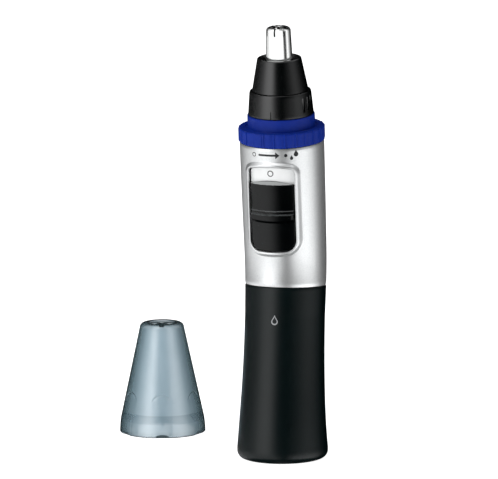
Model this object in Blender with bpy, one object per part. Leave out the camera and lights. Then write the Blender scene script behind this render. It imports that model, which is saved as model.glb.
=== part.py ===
"""A battery nose hair trimmer standing on its base, with its protective cap standing beside it.

The body is a round barrel with a gentle kink at its waist: below it the axis leans back, above it the
axis leans forward to the cutting head. Heights are measured along that axis from the base. What belongs
to the straight lower or upper stretch is parented to an empty on it, so its own Z is that height.
Front is -Y, up is +Z, and the origin is the centre of the base. All constants are in metres.
"""

import math

import bmesh
import bpy
from mathutils import Matrix, Vector

MM = 0.001
GAP = 0.3 * MM
WELD = 1e-7
FULL_TURN = 2 * math.pi
OUTER_SEGMENTS = 48
SEGMENTS = 32
SMALL_SEGMENTS = 20
SHARP = math.radians(30)

# The axis of the barrel
LEAN_LOW = math.radians(-5.25)
LEAN_HIGH = math.radians(4.9)
BASE_BLEND = 19.5 * MM
BEND_START = 51 * MM
BEND_END = 70 * MM
LOWER_REFERENCE = 35 * MM
SPINE_STEP = 0.5 * MM

# The barrel's outside
BASE_RADIUS = 12.2 * MM
FOOT_RADIUS = 14.5 * MM
FOOT_HEIGHT = 3 * MM
WAIST_RADIUS = 12.75 * MM
WAIST_HEIGHT = 46 * MM
SHOULDER_RADIUS = 13.4 * MM
FLARE_POWER = 2.1
SHOULDER_POWER = 1.5
COVER_TOP = 55.2 * MM
HOUSING_BOTTOM = 55.5 * MM
HOUSING_TOP = 102.2 * MM
HOUSING_WALL = 1.5 * MM

# The battery and the tube that holds it
COVER_BORE = 11 * MM
COVER_FLOOR = 2.6 * MM
CELL_RADIUS = 7.1 * MM
CELL_BOTTOM = 6 * MM
CELL_LENGTH = 50.5 * MM
TUBE_BORE = 7.5 * MM
TUBE_RADIUS = 8.7 * MM
TUBE_BOTTOM = 9 * MM
SPIGOT_RADIUS = COVER_BORE - GAP
SPIGOT_BOTTOM = 45.5 * MM
FRAME_TOP = 60 * MM
SEAL_HEIGHT = 49.8 * MM

# The switch
WINDOW_HALF = 7.63 * MM
WINDOW_BOTTOM = 68.9 * MM
WINDOW_TOP = 95.5 * MM
WINDOW_SAG = 0.4 * MM
WINDOW_ARCH = 0.9 * MM
LIP_WIDTH = 1.15 * MM
LIP_RADIUS = 14.0 * MM
LABEL_RADIUS = 12.6 * MM
SLIDER_RADIUS = 13.7 * MM
SLIDER_TOP = 90.1 * MM
SLIDER_ARCH = 1.45 * MM
RIDGE_RADIUS = 14.7 * MM
RIDGE_LOW = 79.4 * MM
RIDGE_HIGH = 81.2 * MM

# The motor
MOTOR_RADIUS = 9.4 * MM
MOTOR_FLAT = 7 * MM
CAN_WALL = 0.7 * MM
CAN_BOTTOM = 66 * MM
CAN_TOP = 87 * MM
SHAFT_RADIUS = 1 * MM
SHAFT_BORE = SHAFT_RADIUS + GAP
MOUNT_RADIUS = 11 * MM
SPINDLE_SIDE = 2 * MM
SCREW_X = 5.3 * MM
SCREW_Y = 2.2 * MM
SOCKET_SIDE = SPINDLE_SIDE + 2 * GAP

# The wash ring and the head
COLLAR_RADIUS = 9.9 * MM
COLLAR_TOP = 106.1 * MM
RING_BOTTOM = 102.5 * MM
RING_TOP = 106.9 * MM
RING_RADIUS = 13.55 * MM
RIB_RADIUS = 13.9 * MM
RIB_PITCHES = 24
RIB_SHARE = 0.2
INDEX_RIB = 22
NECK_RADIUS = 10.75 * MM
NECK_BORE = 9.75 * MM
NECK_TOP = 110.8 * MM
CONE_STEP = 118.3 * MM
CONE_TOP = 129 * MM
BLADE_RADIUS = 4.3 * MM
BLADE_TIP_RADIUS = 3.92 * MM
BLADE_TOP = 138.8 * MM
BLADE_WALL = 0.45 * MM
SLOT_COUNT = 8
SLOT_WIDTH = 0.6 * MM
SLOT_BOTTOM = 136.1 * MM

# The cap
CAP_PLACE = Vector((-51.06 * MM, 30.66 * MM, 0))
CAP_TURN = math.radians(18.5)
CAP_RADIUS = 13.86 * MM
CAP_HEIGHT = 35.8 * MM
CAP_WALL = 1.2 * MM
CAP_BAND = 4.8 * MM
CAP_NOTCHES = 6
NOTCH_HALF = 2.2 * MM
NOTCH_HEIGHT = 1.1 * MM


def smoothstep(t):
    t = min(max(t, 0), 1)
    return t * t * (3 - 2 * t)


def lean(height):
    """How far the axis leans forward at that height along it, in radians."""
    kink = smoothstep((height - BEND_START) / (BEND_END - BEND_START))
    return LEAN_LOW * smoothstep(height / BASE_BLEND) + (LEAN_HIGH - LEAN_LOW) * kink


def spine(height):
    """The point of the axis at that height along it."""
    steps = max(1, round(height / SPINE_STEP))
    length = height / steps
    point = Vector()
    for i in range(steps):
        angle = lean((i + 0.5) * length)
        point += Vector((0, -math.sin(angle), math.cos(angle))) * length
    return point


def barrel_radius(height):
    """The barrel flares to its foot below the waist, and widens slightly to its shoulder above it."""
    if height < WAIST_HEIGHT:
        share = (WAIST_HEIGHT - height) / (WAIST_HEIGHT - FOOT_HEIGHT)
        return WAIST_RADIUS + (FOOT_RADIUS - WAIST_RADIUS) * share**FLARE_POWER
    share = (height - WAIST_HEIGHT) / (HOUSING_TOP - WAIST_HEIGHT)
    return WAIST_RADIUS + (SHOULDER_RADIUS - WAIST_RADIUS) * (1 - (1 - share) ** SHOULDER_POWER)


def spaced(low, high, count):
    return [low + (high - low) * i / count for i in range(count + 1)]


def arc(centre, radius, start, end, steps):
    """Points of an arc in a profile, its angles in degrees."""
    angles = [math.radians(a) for a in spaced(start, end, steps)]
    return [(centre[0] + radius * math.cos(a), centre[1] + radius * math.sin(a)) for a in angles]


# Materials


def material(name, colour, roughness, metallic=0.0, alpha=1.0):
    made = bpy.data.materials.new(name)
    made.use_nodes = True
    shader = made.node_tree.nodes["Principled BSDF"]
    shader.inputs["Base Color"].default_value = (*colour, 1)
    shader.inputs["Roughness"].default_value = roughness
    shader.inputs["Metallic"].default_value = metallic
    shader.inputs["Alpha"].default_value = alpha
    return made


# Shapes. Each returns a bmesh of one closed solid.


def turned(profile, segments=SEGMENTS):
    """The closed profile, (radius, height) points in order, spun about Z."""
    bm = bmesh.new()
    verts = [bm.verts.new((r, 0, z)) for r, z in profile]
    pairs = zip(verts, verts[1:] + verts[:1])
    edges = [bm.edges.new(p) for p in pairs if max(p[0].co.x, p[1].co.x) > WELD]
    bmesh.ops.spin(bm, geom=verts + edges, cent=(0, 0, 0), axis=(0, 0, 1), angle=FULL_TURN,
                   steps=segments, use_merge=True)
    bmesh.ops.remove_doubles(bm, verts=bm.verts, dist=WELD)
    bmesh.ops.recalc_face_normals(bm, faces=bm.faces)
    return bm


def cylinder(radius, low, high, segments=SEGMENTS):
    return turned([(0, low), (radius, low), (radius, high), (0, high)], segments)


def tube(inner, outer, low, high, segments=SEGMENTS):
    return turned([(inner, low), (outer, low), (outer, high), (inner, high)], segments)


def o_ring(radius, thickness, height):
    return turned(arc((radius, height), thickness / 2, 0, 315, 7))


def extruded(outline, vector):
    """A flat outline, as 3-D points, pushed along a vector."""
    bm = bmesh.new()
    face = bm.faces.new([bm.verts.new(p) for p in outline])
    grown = bmesh.ops.extrude_face_region(bm, geom=[face])
    moved = [v for v in grown["geom"] if isinstance(v, bmesh.types.BMVert)]
    bmesh.ops.translate(bm, verts=moved, vec=vector)
    bmesh.ops.recalc_face_normals(bm, faces=bm.faces)
    return bm


def block(low, high):
    bm = bmesh.new()
    low, high = Vector(low), Vector(high)
    size = high - low
    place = Matrix.Translation((low + high) / 2) @ Matrix.Diagonal((*size, 1))
    bmesh.ops.create_cube(bm, size=1, matrix=place)
    return bm


def bar(side, low, high):
    return block((-side / 2, -side / 2, low), (side / 2, side / 2, high))


def tablet(half, low, high, low_corner, high_corner, front, back, sag=0.0, arch=0.0):
    """A block whose front outline has rounded corners, running from front to back along Y.

    Its bottom edge sags and its top edge is arched by those amounts at the middle.
    """
    corners = [
        arc((half - low_corner, low + low_corner), low_corner, -90, 0, 6),
        arc((half - high_corner, high - high_corner), high_corner, 0, 90, 4),
        [(x, high) for x in spaced(half - high_corner, high_corner - half, 8)[1:-1]],
        arc((high_corner - half, high - high_corner), high_corner, 90, 180, 4),
        arc((low_corner - half, low + low_corner), low_corner, 180, 270, 6),
        [(x, low) for x in spaced(low_corner - half, half - low_corner, 4)[1:-1]],
    ]
    outline = []
    for x, z in (point for corner in corners for point in corner):
        bow = arch if z > (low + high) / 2 else -sag
        outline.append((x, front, z + bow * (1 - (x / half) ** 2)))
    return extruded(outline, (0, back - front, 0))


def around(count, shape, turn=0.0):
    """Copies of a shape that lies along +X, set round Z in one mesh."""
    bm = bmesh.new()
    mesh = bpy.data.meshes.new("copy")
    for i in range(count):
        copy = shape.copy()
        copy.transform(Matrix.Rotation(turn + FULL_TURN * i / count, 4, "Z"))
        copy.to_mesh(mesh)
        bm.from_mesh(mesh)
    bpy.data.meshes.remove(mesh)
    return bm


def spokes(count, low, high, turn=0.0):
    return around(count, block(low, high), turn)


# Objects


def place(name, bm, look, parent=None):
    mesh = bpy.data.meshes.new(name)
    bm.to_mesh(mesh)
    bm.free()
    if look:
        mesh.materials.append(look)
    obj = bpy.data.objects.new(name, mesh)
    bpy.context.scene.collection.objects.link(obj)
    obj.parent = parent
    mesh.shade_smooth()
    mesh.set_sharp_from_angle(angle=SHARP)
    return obj


def combine(obj, bm, operation, parent=None):
    """Adds a Boolean with a helper that doesn't show. A helper sits on the object's own axis."""
    name = f"{obj.name}_{operation.lower()}_{len(obj.modifiers)}"
    helper = place(name, bm, None, parent or obj.parent)
    helper.matrix_basis = obj.matrix_basis if parent is None else Matrix()
    helper.hide_render = True
    helper.display_type = "WIRE"
    modifier = obj.modifiers.new(operation.title(), "BOOLEAN")
    modifier.operation = operation
    modifier.object = helper
    return obj


def cut(obj, bm, parent=None):
    return combine(obj, bm, "DIFFERENCE", parent)


def join(obj, bm, parent=None):
    return combine(obj, bm, "UNION", parent)


def keep(obj, bm, parent=None):
    return combine(obj, bm, "INTERSECT", parent)


def combine_modelled(obj, other, operation):
    """The same with another object that was modelled first, and that then doesn't show."""
    other.hide_render = True
    other.display_type = "WIRE"
    modifier = obj.modifiers.new(operation.title(), "BOOLEAN")
    modifier.operation = operation
    modifier.object = other


def bend(obj):
    """Carries a straight shape, modelled along Z, onto the leaning axis."""
    for v in obj.data.vertices:
        angle = lean(v.co.z)
        across = Vector((v.co.x, v.co.y * math.cos(angle), v.co.y * math.sin(angle)))
        v.co = spine(v.co.z) + across
    return obj


def coil(name, look, parent, wire, path):
    """A wire of that diameter along a list of points."""
    curve = bpy.data.curves.new(name, "CURVE")
    curve.dimensions = "3D"
    curve.bevel_depth = wire / 2
    curve.bevel_resolution = 2
    curve.use_fill_caps = True
    curve.materials.append(look)
    line = curve.splines.new("POLY")
    line.points.add(len(path) - 1)
    for point, co in zip(line.points, path):
        point.co = (*co, 1)
    obj = bpy.data.objects.new(name, curve)
    bpy.context.scene.collection.objects.link(obj)
    obj.parent = parent
    return obj


def helix(low_radius, high_radius, low, high, turns, points_per_turn=16):
    """Points of a coil that may narrow as it climbs."""
    path = []
    for t in spaced(0, 1, round(turns * points_per_turn)):
        angle = FULL_TURN * turns * t
        radius = low_radius + (high_radius - low_radius) * t
        path.append((radius * math.cos(angle), radius * math.sin(angle), low + (high - low) * t))
    return path


def straight_axis(name, height):
    """An empty whose Z runs along the axis's straight stretch at that height."""
    angle = lean(height)
    empty = bpy.data.objects.new(name, None)
    bpy.context.scene.collection.objects.link(empty)
    empty.location = spine(height) - Vector((0, -math.sin(angle), math.cos(angle))) * height
    empty.rotation_euler = (angle, 0, 0)
    return empty


# The base: the battery cover and its contact


def make_battery_cover(lower, look, steel):
    foot = [
        (BASE_RADIUS, 0),
        (BASE_RADIUS + 1.1 * MM, 0.35 * MM),
        (FOOT_RADIUS - 0.4 * MM, 1.3 * MM),
    ]
    side = [(barrel_radius(h), h) for h in spaced(FOOT_HEIGHT, COVER_TOP, 9)]
    cover = place("battery_cover", turned([(0, 0), *foot, *side, (0, COVER_TOP)], OUTER_SEGMENTS), look)
    bend(cover)
    cut(cover, cylinder(COVER_BORE, COVER_FLOOR, COVER_TOP + 10 * MM), lower)
    plate_low = COVER_FLOOR + GAP
    place("negative_plate", cylinder(8.6 * MM, plate_low, plate_low + GAP), steel, lower)
    wire = 0.7 * MM
    low = plate_low + 2 * GAP + wire / 2
    high = CELL_BOTTOM - GAP - wire / 2
    coil("negative_spring", steel, lower, wire, helix(4.6 * MM, 2.6 * MM, low, high, 2.25))


# The lower half of the main body: frame, cell and seal


def make_frame(lower, plastic, rubber, brass, cell_look):
    groove = 1.2 * MM
    profile = [
        (TUBE_BORE, TUBE_BOTTOM),
        (TUBE_RADIUS, TUBE_BOTTOM),
        (TUBE_RADIUS, SPIGOT_BOTTOM),
        (SPIGOT_RADIUS, SPIGOT_BOTTOM),
        (SPIGOT_RADIUS, SEAL_HEIGHT - groove),
        (SPIGOT_RADIUS - 1.5 * MM, SEAL_HEIGHT - groove),
        (SPIGOT_RADIUS - 1.5 * MM, SEAL_HEIGHT + groove),
        (SPIGOT_RADIUS, SEAL_HEIGHT + groove),
        (SPIGOT_RADIUS, FRAME_TOP),
        (0, FRAME_TOP),
        (0, FRAME_TOP - 2.4 * MM),
        (TUBE_BORE, FRAME_TOP - 2.4 * MM),
    ]
    frame = place("inner_frame", turned(profile), plastic, lower)
    cut(frame, tablet(4.2 * MM, 14 * MM, 43 * MM, 3 * MM, 3 * MM, -12 * MM, -5 * MM))
    cut(frame, block((-1.6 * MM, 5 * MM, 5 * MM), (1.6 * MM, 8.25 * MM, 57.4 * MM)))
    place("frame_seal", o_ring(10.12 * MM, 1.16 * MM, SEAL_HEIGHT), rubber, lower)
    strip_low = COVER_FLOOR + 3 * GAP
    strip = block((-1.3 * MM, 7.55 * MM, strip_low), (1.3 * MM, 7.9 * MM, 57.1 * MM))
    place("negative_strip", strip, brass, lower)
    top = CELL_BOTTOM + CELL_LENGTH
    nub = 2.7 * MM
    cell = [
        (0, CELL_BOTTOM),
        (CELL_RADIUS - 0.3 * MM, CELL_BOTTOM),
        (CELL_RADIUS, CELL_BOTTOM + 0.3 * MM),
        (CELL_RADIUS, top - 1.7 * MM),
        (CELL_RADIUS - 0.4 * MM, top - 1.3 * MM),
        (nub, top - 1.3 * MM),
        (nub, top),
        (0, top),
    ]
    place("battery", turned(cell), cell_look, lower)
    contact = cylinder(3.5 * MM, top + GAP, top + 2 * GAP, SMALL_SEGMENTS)
    place("positive_contact", contact, brass, lower)


# The upper half of the main body


def make_housing(upper, look):
    heights = spaced(HOUSING_BOTTOM, HOUSING_TOP, 8)
    outside = [(barrel_radius(h), h) for h in heights]
    inside = [(r - HOUSING_WALL, h) for r, h in reversed(outside)]
    housing = bend(place("upper_housing", turned(outside + inside, OUTER_SEGMENTS), look))
    lip = place("window_lip", tube(LIP_RADIUS - 1.6 * MM, LIP_RADIUS, 60 * MM, 100 * MM), None, upper)
    keep(lip, tablet(WINDOW_HALF + LIP_WIDTH, WINDOW_BOTTOM - 1.6 * MM, WINDOW_TOP + 1.2 * MM, 4.2 * MM,
                     2.2 * MM, -16 * MM, -8 * MM, WINDOW_SAG, WINDOW_ARCH))
    combine_modelled(housing, lip, "UNION")
    cut(housing, tablet(WINDOW_HALF, WINDOW_BOTTOM, WINDOW_TOP, 3.3 * MM, 1.1 * MM, -16 * MM, -8 * MM,
                        WINDOW_SAG, WINDOW_ARCH), upper)


def make_switch(upper, white, black, rubber, brass):
    half = WINDOW_HALF - 1.1 * GAP
    low = WINDOW_BOTTOM + GAP
    long_tube = (60 * MM, 100 * MM)
    label = place("switch_label", tube(10.7 * MM, 11.3 * MM, *long_tube), white, upper)
    keep(label, tablet(8.3 * MM, 67.5 * MM, 96 * MM, 3 * MM, 1 * MM, -16 * MM, -5 * MM))
    face = place("label_face", tube(11.1 * MM, LABEL_RADIUS, *long_tube), None, upper)
    keep(face, tablet(half, low, WINDOW_TOP - GAP, 3 * MM, 1 * MM, -16 * MM, -8 * MM,
                      WINDOW_SAG, WINDOW_ARCH))
    combine_modelled(label, face, "UNION")
    cut(label, block((-1.6 * MM, -14 * MM, 79.2 * MM), (1.6 * MM, -8 * MM, 87.8 * MM)))

    slider = place("switch_slider", tube(LABEL_RADIUS + GAP, SLIDER_RADIUS, *long_tube), black, upper)
    keep(slider, tablet(half, low, SLIDER_TOP, 3 * MM, 0.6 * MM, -16 * MM, -8 * MM,
                        WINDOW_SAG, SLIDER_ARCH))
    side = block((-7 * MM, -16 * MM, 70 * MM), (7 * MM, -8 * MM, 90 * MM))
    for radius, bottom, top in ((RIDGE_RADIUS, RIDGE_LOW, RIDGE_HIGH), (14.1 * MM, 81.8 * MM, 82.2 * MM)):
        ridge = place(f"slider_ridge_{radius / MM:.0f}", tube(13.2 * MM, radius, bottom, top), None, upper)
        keep(ridge, side.copy())
        combine_modelled(slider, ridge, "UNION")
    side.free()
    join(slider, block((-1.2 * MM, -13.4 * MM, 79.6 * MM), (1.2 * MM, -10.1 * MM, 83.2 * MM)))

    bridge = block((-3.2 * MM, -9.8 * MM, 77.6 * MM), (3.2 * MM, -8.9 * MM, 85.6 * MM))
    place("switch_bridge", bridge, brass, upper)
    gasket = place("switch_gasket", tube(9.9 * MM, 10.4 * MM, *long_tube), rubber, upper)
    keep(gasket, tablet(7.9 * MM, 67.4 * MM, 95.6 * MM, 3 * MM, 1 * MM, -16 * MM, -4 * MM))
    cut(gasket, block((-4.5 * MM, -14 * MM, 73 * MM), (4.5 * MM, -4 * MM, 93 * MM)))
    for name, low, high in (("battery_leaf", 69.6 * MM, 83.2 * MM), ("motor_leaf", 86.2 * MM, 93.6 * MM)):
        place(name, block((-3 * MM, -8.5 * MM, low), (3 * MM, -8.1 * MM, high)), brass, upper)


def make_motor(upper, steel, plastic, brass, magnet):
    def flats(offset=0.0):
        side = MOTOR_RADIUS + MM
        flat = MOTOR_FLAT - offset
        return block((-side, -flat, 50 * MM), (side, flat, 100 * MM))

    inner = MOTOR_RADIUS - CAN_WALL
    can = place("motor_can", cylinder(MOTOR_RADIUS, CAN_BOTTOM, CAN_TOP), steel, upper)
    keep(can, flats())
    hollow = place("can_hollow", cylinder(inner, CAN_BOTTOM - MM, CAN_TOP - CAN_WALL), None, upper)
    keep(hollow, flats(CAN_WALL))
    combine_modelled(can, hollow, "DIFFERENCE")
    join(can, cylinder(3 * MM, CAN_TOP - CAN_WALL, CAN_TOP + 1.6 * MM, SMALL_SEGMENTS))
    cut(can, cylinder(SHAFT_BORE, CAN_TOP - 2 * MM, CAN_TOP + 3 * MM, SMALL_SEGMENTS))

    for name, side in (("magnet_left", -1), ("magnet_right", 1)):
        piece = place(name, tube(6.4 * MM, inner - GAP, 68 * MM, 84 * MM), magnet, upper)
        near, far = sorted((side * 3.5 * MM, side * 10 * MM))
        keep(piece, block((near, -5 * MM, 60 * MM), (far, 5 * MM, 90 * MM)))

    cap = place("motor_end_cap", cylinder(MOTOR_RADIUS, 62.9 * MM, CAN_BOTTOM - GAP), plastic, upper)
    keep(cap, flats())
    cut(cap, cylinder(SHAFT_BORE, 64 * MM, 67 * MM, SMALL_SEGMENTS))
    for name, side in (("motor_terminal_left", -1), ("motor_terminal_right", 1)):
        middle = side * 4.5 * MM
        tab = block((middle - MM, 2.6 * MM, 60.6 * MM), (middle + MM, 3 * MM, 62.6 * MM))
        place(name, tab, brass, upper)

    mount = [
        (MOTOR_RADIUS + GAP, 64 * MM),
        (MOUNT_RADIUS, 64 * MM),
        (MOUNT_RADIUS, 92 * MM),
        (3.4 * MM, 92 * MM),
        (3.4 * MM, 89.2 * MM),
        (MOTOR_RADIUS + GAP, 89.2 * MM),
    ]
    mount = place("motor_mount", turned(mount), plastic, upper)
    cut(mount, block((-12 * MM, -12 * MM, 63 * MM), (12 * MM, -2 * MM, 88.9 * MM)))
    cut(mount, block((-12 * MM, -12 * MM, 88 * MM), (12 * MM, -5.5 * MM, 93 * MM)))
    for side in (-1, 1):
        boss = tube(1.15 * MM, 2.2 * MM, 91 * MM, 96.1 * MM, 16)
        boss.transform(Matrix.Translation((side * SCREW_X, SCREW_Y, 0)))
        join(mount, boss)
        hole = cylinder(1.15 * MM, 90.5 * MM, 97 * MM, 16)
        hole.transform(Matrix.Translation((side * SCREW_X, SCREW_Y, 0)))
        cut(mount, hole)


def make_rotor(upper, steel, copper, brass, plastic):
    shaft = cylinder(SHAFT_RADIUS, 64.3 * MM, 100.5 * MM, SMALL_SEGMENTS)
    place("motor_shaft", shaft, steel, upper)
    armature = place("armature", tube(SHAFT_BORE, 5.9 * MM, 70 * MM, 82 * MM), copper, upper)
    cut(armature, spokes(3, (2.6 * MM, -0.9 * MM, 69 * MM), (7 * MM, 0.9 * MM, 83 * MM)))
    place("commutator", tube(SHAFT_BORE, 2.2 * MM, 66.2 * MM, 69.5 * MM, SMALL_SEGMENTS), brass, upper)
    profile = [
        (SHAFT_BORE, 97 * MM),
        (1.9 * MM, 97 * MM),
        (1.9 * MM, 101.5 * MM),
        (2.9 * MM, 101.5 * MM),
        (2.9 * MM, 104.8 * MM),
        (0, 104.8 * MM),
        (0, 100.8 * MM),
        (SHAFT_BORE, 100.8 * MM),
    ]
    coupler = place("drive_coupler", turned(profile, SMALL_SEGMENTS), plastic, upper)
    cut(coupler, bar(SOCKET_SIDE, 102.2 * MM, 106 * MM))
    place("drive_spindle", bar(SPINDLE_SIDE, 102.5 * MM, 122 * MM), steel, upper)


def make_body_collar(upper, plastic, rubber, steel):
    """The sealed top of the main body, which the wash ring turns on."""
    floor_low, floor_high = 96.4 * MM, 98.6 * MM
    groove_low, groove_high = 103.4 * MM, 105.2 * MM
    shoulder = 11.4 * MM
    well = 7.8 * MM
    groove = COLLAR_RADIUS - MM
    hole = 2.3 * MM
    profile = [
        (hole, floor_low),
        (shoulder, floor_low),
        (shoulder, HOUSING_TOP - GAP),
        (COLLAR_RADIUS, HOUSING_TOP - GAP),
        (COLLAR_RADIUS, groove_low),
        (groove, groove_low),
        (groove, groove_high),
        (COLLAR_RADIUS, groove_high),
        (COLLAR_RADIUS, COLLAR_TOP),
        (well, COLLAR_TOP),
        (well, floor_high),
        (hole, floor_high),
    ]
    collar = place("body_collar", turned(profile), plastic, upper)
    for name, side in (("collar_screw_left", -1), ("collar_screw_right", 1)):
        spot = Matrix.Translation((side * SCREW_X, SCREW_Y, 0))
        hole_cutter = cylinder(1.15 * MM, 95 * MM, 100 * MM, 16)
        hole_cutter.transform(spot)
        cut(collar, hole_cutter)
        head_low = floor_high + GAP
        shank = 0.85 * MM
        head = 1.6 * MM
        screw = [(0, 92.8 * MM), (shank, 93.4 * MM), (shank, head_low), (head, head_low),
                 (head, head_low + 0.9 * MM), (0, head_low + 0.9 * MM)]
        screw_solid = turned(screw, 16)
        screw_solid.transform(spot)
        screw_object = place(name, screw_solid, steel, upper)
        for long, wide in ((MM, 0.2 * MM), (0.2 * MM, MM)):
            slot = block((-long, -wide, head_low + 0.4 * MM), (long, wide, head_low + 2 * MM))
            slot.transform(spot)
            cut(screw_object, slot)
    place("ring_seal", o_ring(9.55 * MM, 0.66 * MM, 104.3 * MM), rubber, upper)
    seal = [(2.2 * MM, 98.9 * MM), (3.7 * MM, 98.9 * MM), (3.7 * MM, 99.6 * MM),
            (3.2 * MM, 101.2 * MM), (2.2 * MM, 101.2 * MM)]
    place("shaft_seal", turned(seal, SMALL_SEGMENTS), rubber, upper)


# The wash ring


def ribbed_outline(height):
    """The ring's edge from above: a circle with a raised rib at every pitch but the index one."""
    points = []
    pitch = FULL_TURN / RIB_PITCHES
    for i in range(RIB_PITCHES):
        middle = (i + 0.5) * pitch - FULL_TURN / 4
        high = RING_RADIUS if i == INDEX_RIB else RIB_RADIUS
        half = pitch * RIB_SHARE / 2
        for share, radius in ((-2.2, RING_RADIUS), (-1, high), (1, high), (2.2, RING_RADIUS)):
            angle = middle + share * half
            points.append((radius * math.cos(angle), radius * math.sin(angle), height))
    return points


def make_wash_ring(upper, look):
    ribbed = extruded(ribbed_outline(RING_BOTTOM), (0, 0, RING_TOP - RING_BOTTOM))
    ring = place("wash_ring", ribbed, look, upper)
    join(ring, cylinder(NECK_RADIUS, RING_BOTTOM + MM, NECK_TOP, OUTER_SEGMENTS))
    bore = [
        (0, RING_BOTTOM - MM),
        (COLLAR_RADIUS + GAP, RING_BOTTOM - MM),
        (COLLAR_RADIUS + GAP, COLLAR_TOP + GAP),
        (NECK_BORE, COLLAR_TOP + GAP),
        (NECK_BORE, NECK_TOP + MM),
        (0, NECK_TOP + MM),
    ]
    cut(ring, turned(bore, OUTER_SEGMENTS))


# The head


def make_head(upper, black, steel):
    seat = NECK_TOP + GAP
    plug = NECK_BORE - 1.15 * GAP
    hollow = 8.2 * MM
    collar = [
        (hollow, COLLAR_TOP + 0.5 * MM),
        (plug, COLLAR_TOP + 0.5 * MM),
        (plug, seat),
        (10.5 * MM, seat),
        (9.8 * MM, CONE_STEP - 0.3 * MM),
        (9.6 * MM, CONE_STEP),
        (hollow, CONE_STEP),
    ]
    collar_object = place("head_collar", turned(collar, OUTER_SEGMENTS), black, upper)
    for angle in (-26, -13, 0, 13, 26):
        grip = ((9.45 * MM, -0.6 * MM, 112.3 * MM), (12 * MM, 0.6 * MM, 117 * MM))
        cut(collar_object, spokes(2, *grip, turn=math.radians(angle)))

    spigot = hollow - GAP
    spigot_bottom = 112 * MM
    opening = BLADE_RADIUS + 0.35 * MM
    cone = [
        (7 * MM, spigot_bottom),
        (spigot, spigot_bottom),
        (spigot, CONE_STEP + GAP),
        (8.95 * MM, CONE_STEP + GAP),
        (7 * MM, CONE_TOP - 0.5 * MM),
        (6.5 * MM, CONE_TOP),
        (opening, CONE_TOP - 0.2 * MM),
        (opening, CONE_TOP - 1.7 * MM),
        (5.7 * MM, CONE_TOP - 1.7 * MM),
        (7 * MM, CONE_STEP + 0.6 * MM),
    ]
    place("head_cone", turned(cone, OUTER_SEGMENTS), black, upper)
    place("blade_retainer", tube(2.4 * MM, 6.7 * MM, 112.3 * MM, 113.3 * MM), black, upper)

    round_edge = 1.2 * MM
    flange_low, flange_high = 126.2 * MM, 126.95 * MM
    outer_centre = (BLADE_TIP_RADIUS - round_edge, BLADE_TOP - round_edge)
    outside = [(5.3 * MM, flange_low), (5.3 * MM, flange_high), (BLADE_RADIUS, flange_high),
               *arc(outer_centre, round_edge, 0, 90, 4), (0, BLADE_TOP)]
    inside = [(0, BLADE_TOP - BLADE_WALL), *arc(outer_centre, round_edge - BLADE_WALL, 90, 0, 3),
              (BLADE_RADIUS - BLADE_WALL, flange_low)]
    blade = place("outer_blade", turned(outside + inside), steel, upper)
    slot = ((1.3 * MM, -SLOT_WIDTH / 2, SLOT_BOTTOM), (6 * MM, SLOT_WIDTH / 2, 140 * MM))
    cut(blade, spokes(SLOT_COUNT, *slot, turn=FULL_TURN / 4))


def make_inner_blade(upper, plastic, steel):
    hub = [
        (0, 118.4 * MM),
        (4.6 * MM, 118.4 * MM),
        (4.6 * MM, 119.4 * MM),
        (3.1 * MM, 119.4 * MM),
        (3.1 * MM, 131.4 * MM),
        (0, 131.4 * MM),
    ]
    hub = place("blade_hub", turned(hub, SMALL_SEGMENTS), plastic, upper)
    cut(hub, bar(SOCKET_SIDE, 117 * MM, 124 * MM))
    cutter = place("inner_blade", cylinder(1.1 * MM, 131.7 * MM, 137 * MM, 16), steel, upper)
    wing = 3.15 * MM
    half = 0.25 * MM
    corner = 0.7 * MM
    low, high = 131.7 * MM, 137 * MM
    outline = [(-wing, low), (wing, low), (wing, high - corner), (wing - corner, high),
               (corner - wing, high), (-wing, high - corner)]
    for turn in (0, FULL_TURN / 4):
        plate = extruded([(x, -half, z) for x, z in outline], (0, 2 * half, 0))
        plate.transform(Matrix.Rotation(turn, 4, "Z"))
        join(cutter, plate)
    wire = 0.6 * MM
    low = 113.3 * MM + GAP + wire / 2
    high = 118.4 * MM - GAP - wire / 2
    coil("blade_spring", steel, upper, wire, helix(3.6 * MM, 3.6 * MM, low, high, 3.5, 14))


# The cap


def cap_radius(height):
    """The cap's outside: an upright band at the rim, then a straight cone."""
    if height < CAP_BAND:
        return CAP_RADIUS - 0.36 * MM * (height / CAP_BAND) ** 2
    return CAP_RADIUS - 0.36 * MM - 0.2145 * (height - CAP_BAND)


def arch_outline(half, height):
    """A flat arch that stands on a sill one millimetre below the rim."""
    curve = [(half * math.cos(a), height * math.sin(a) ** 0.6) for a in spaced(0, math.pi, 8)[1:-1]]
    return [(-half, -MM), (half, -MM), (half, 0.2 * MM), *curve, (-half, 0.2 * MM)]


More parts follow.
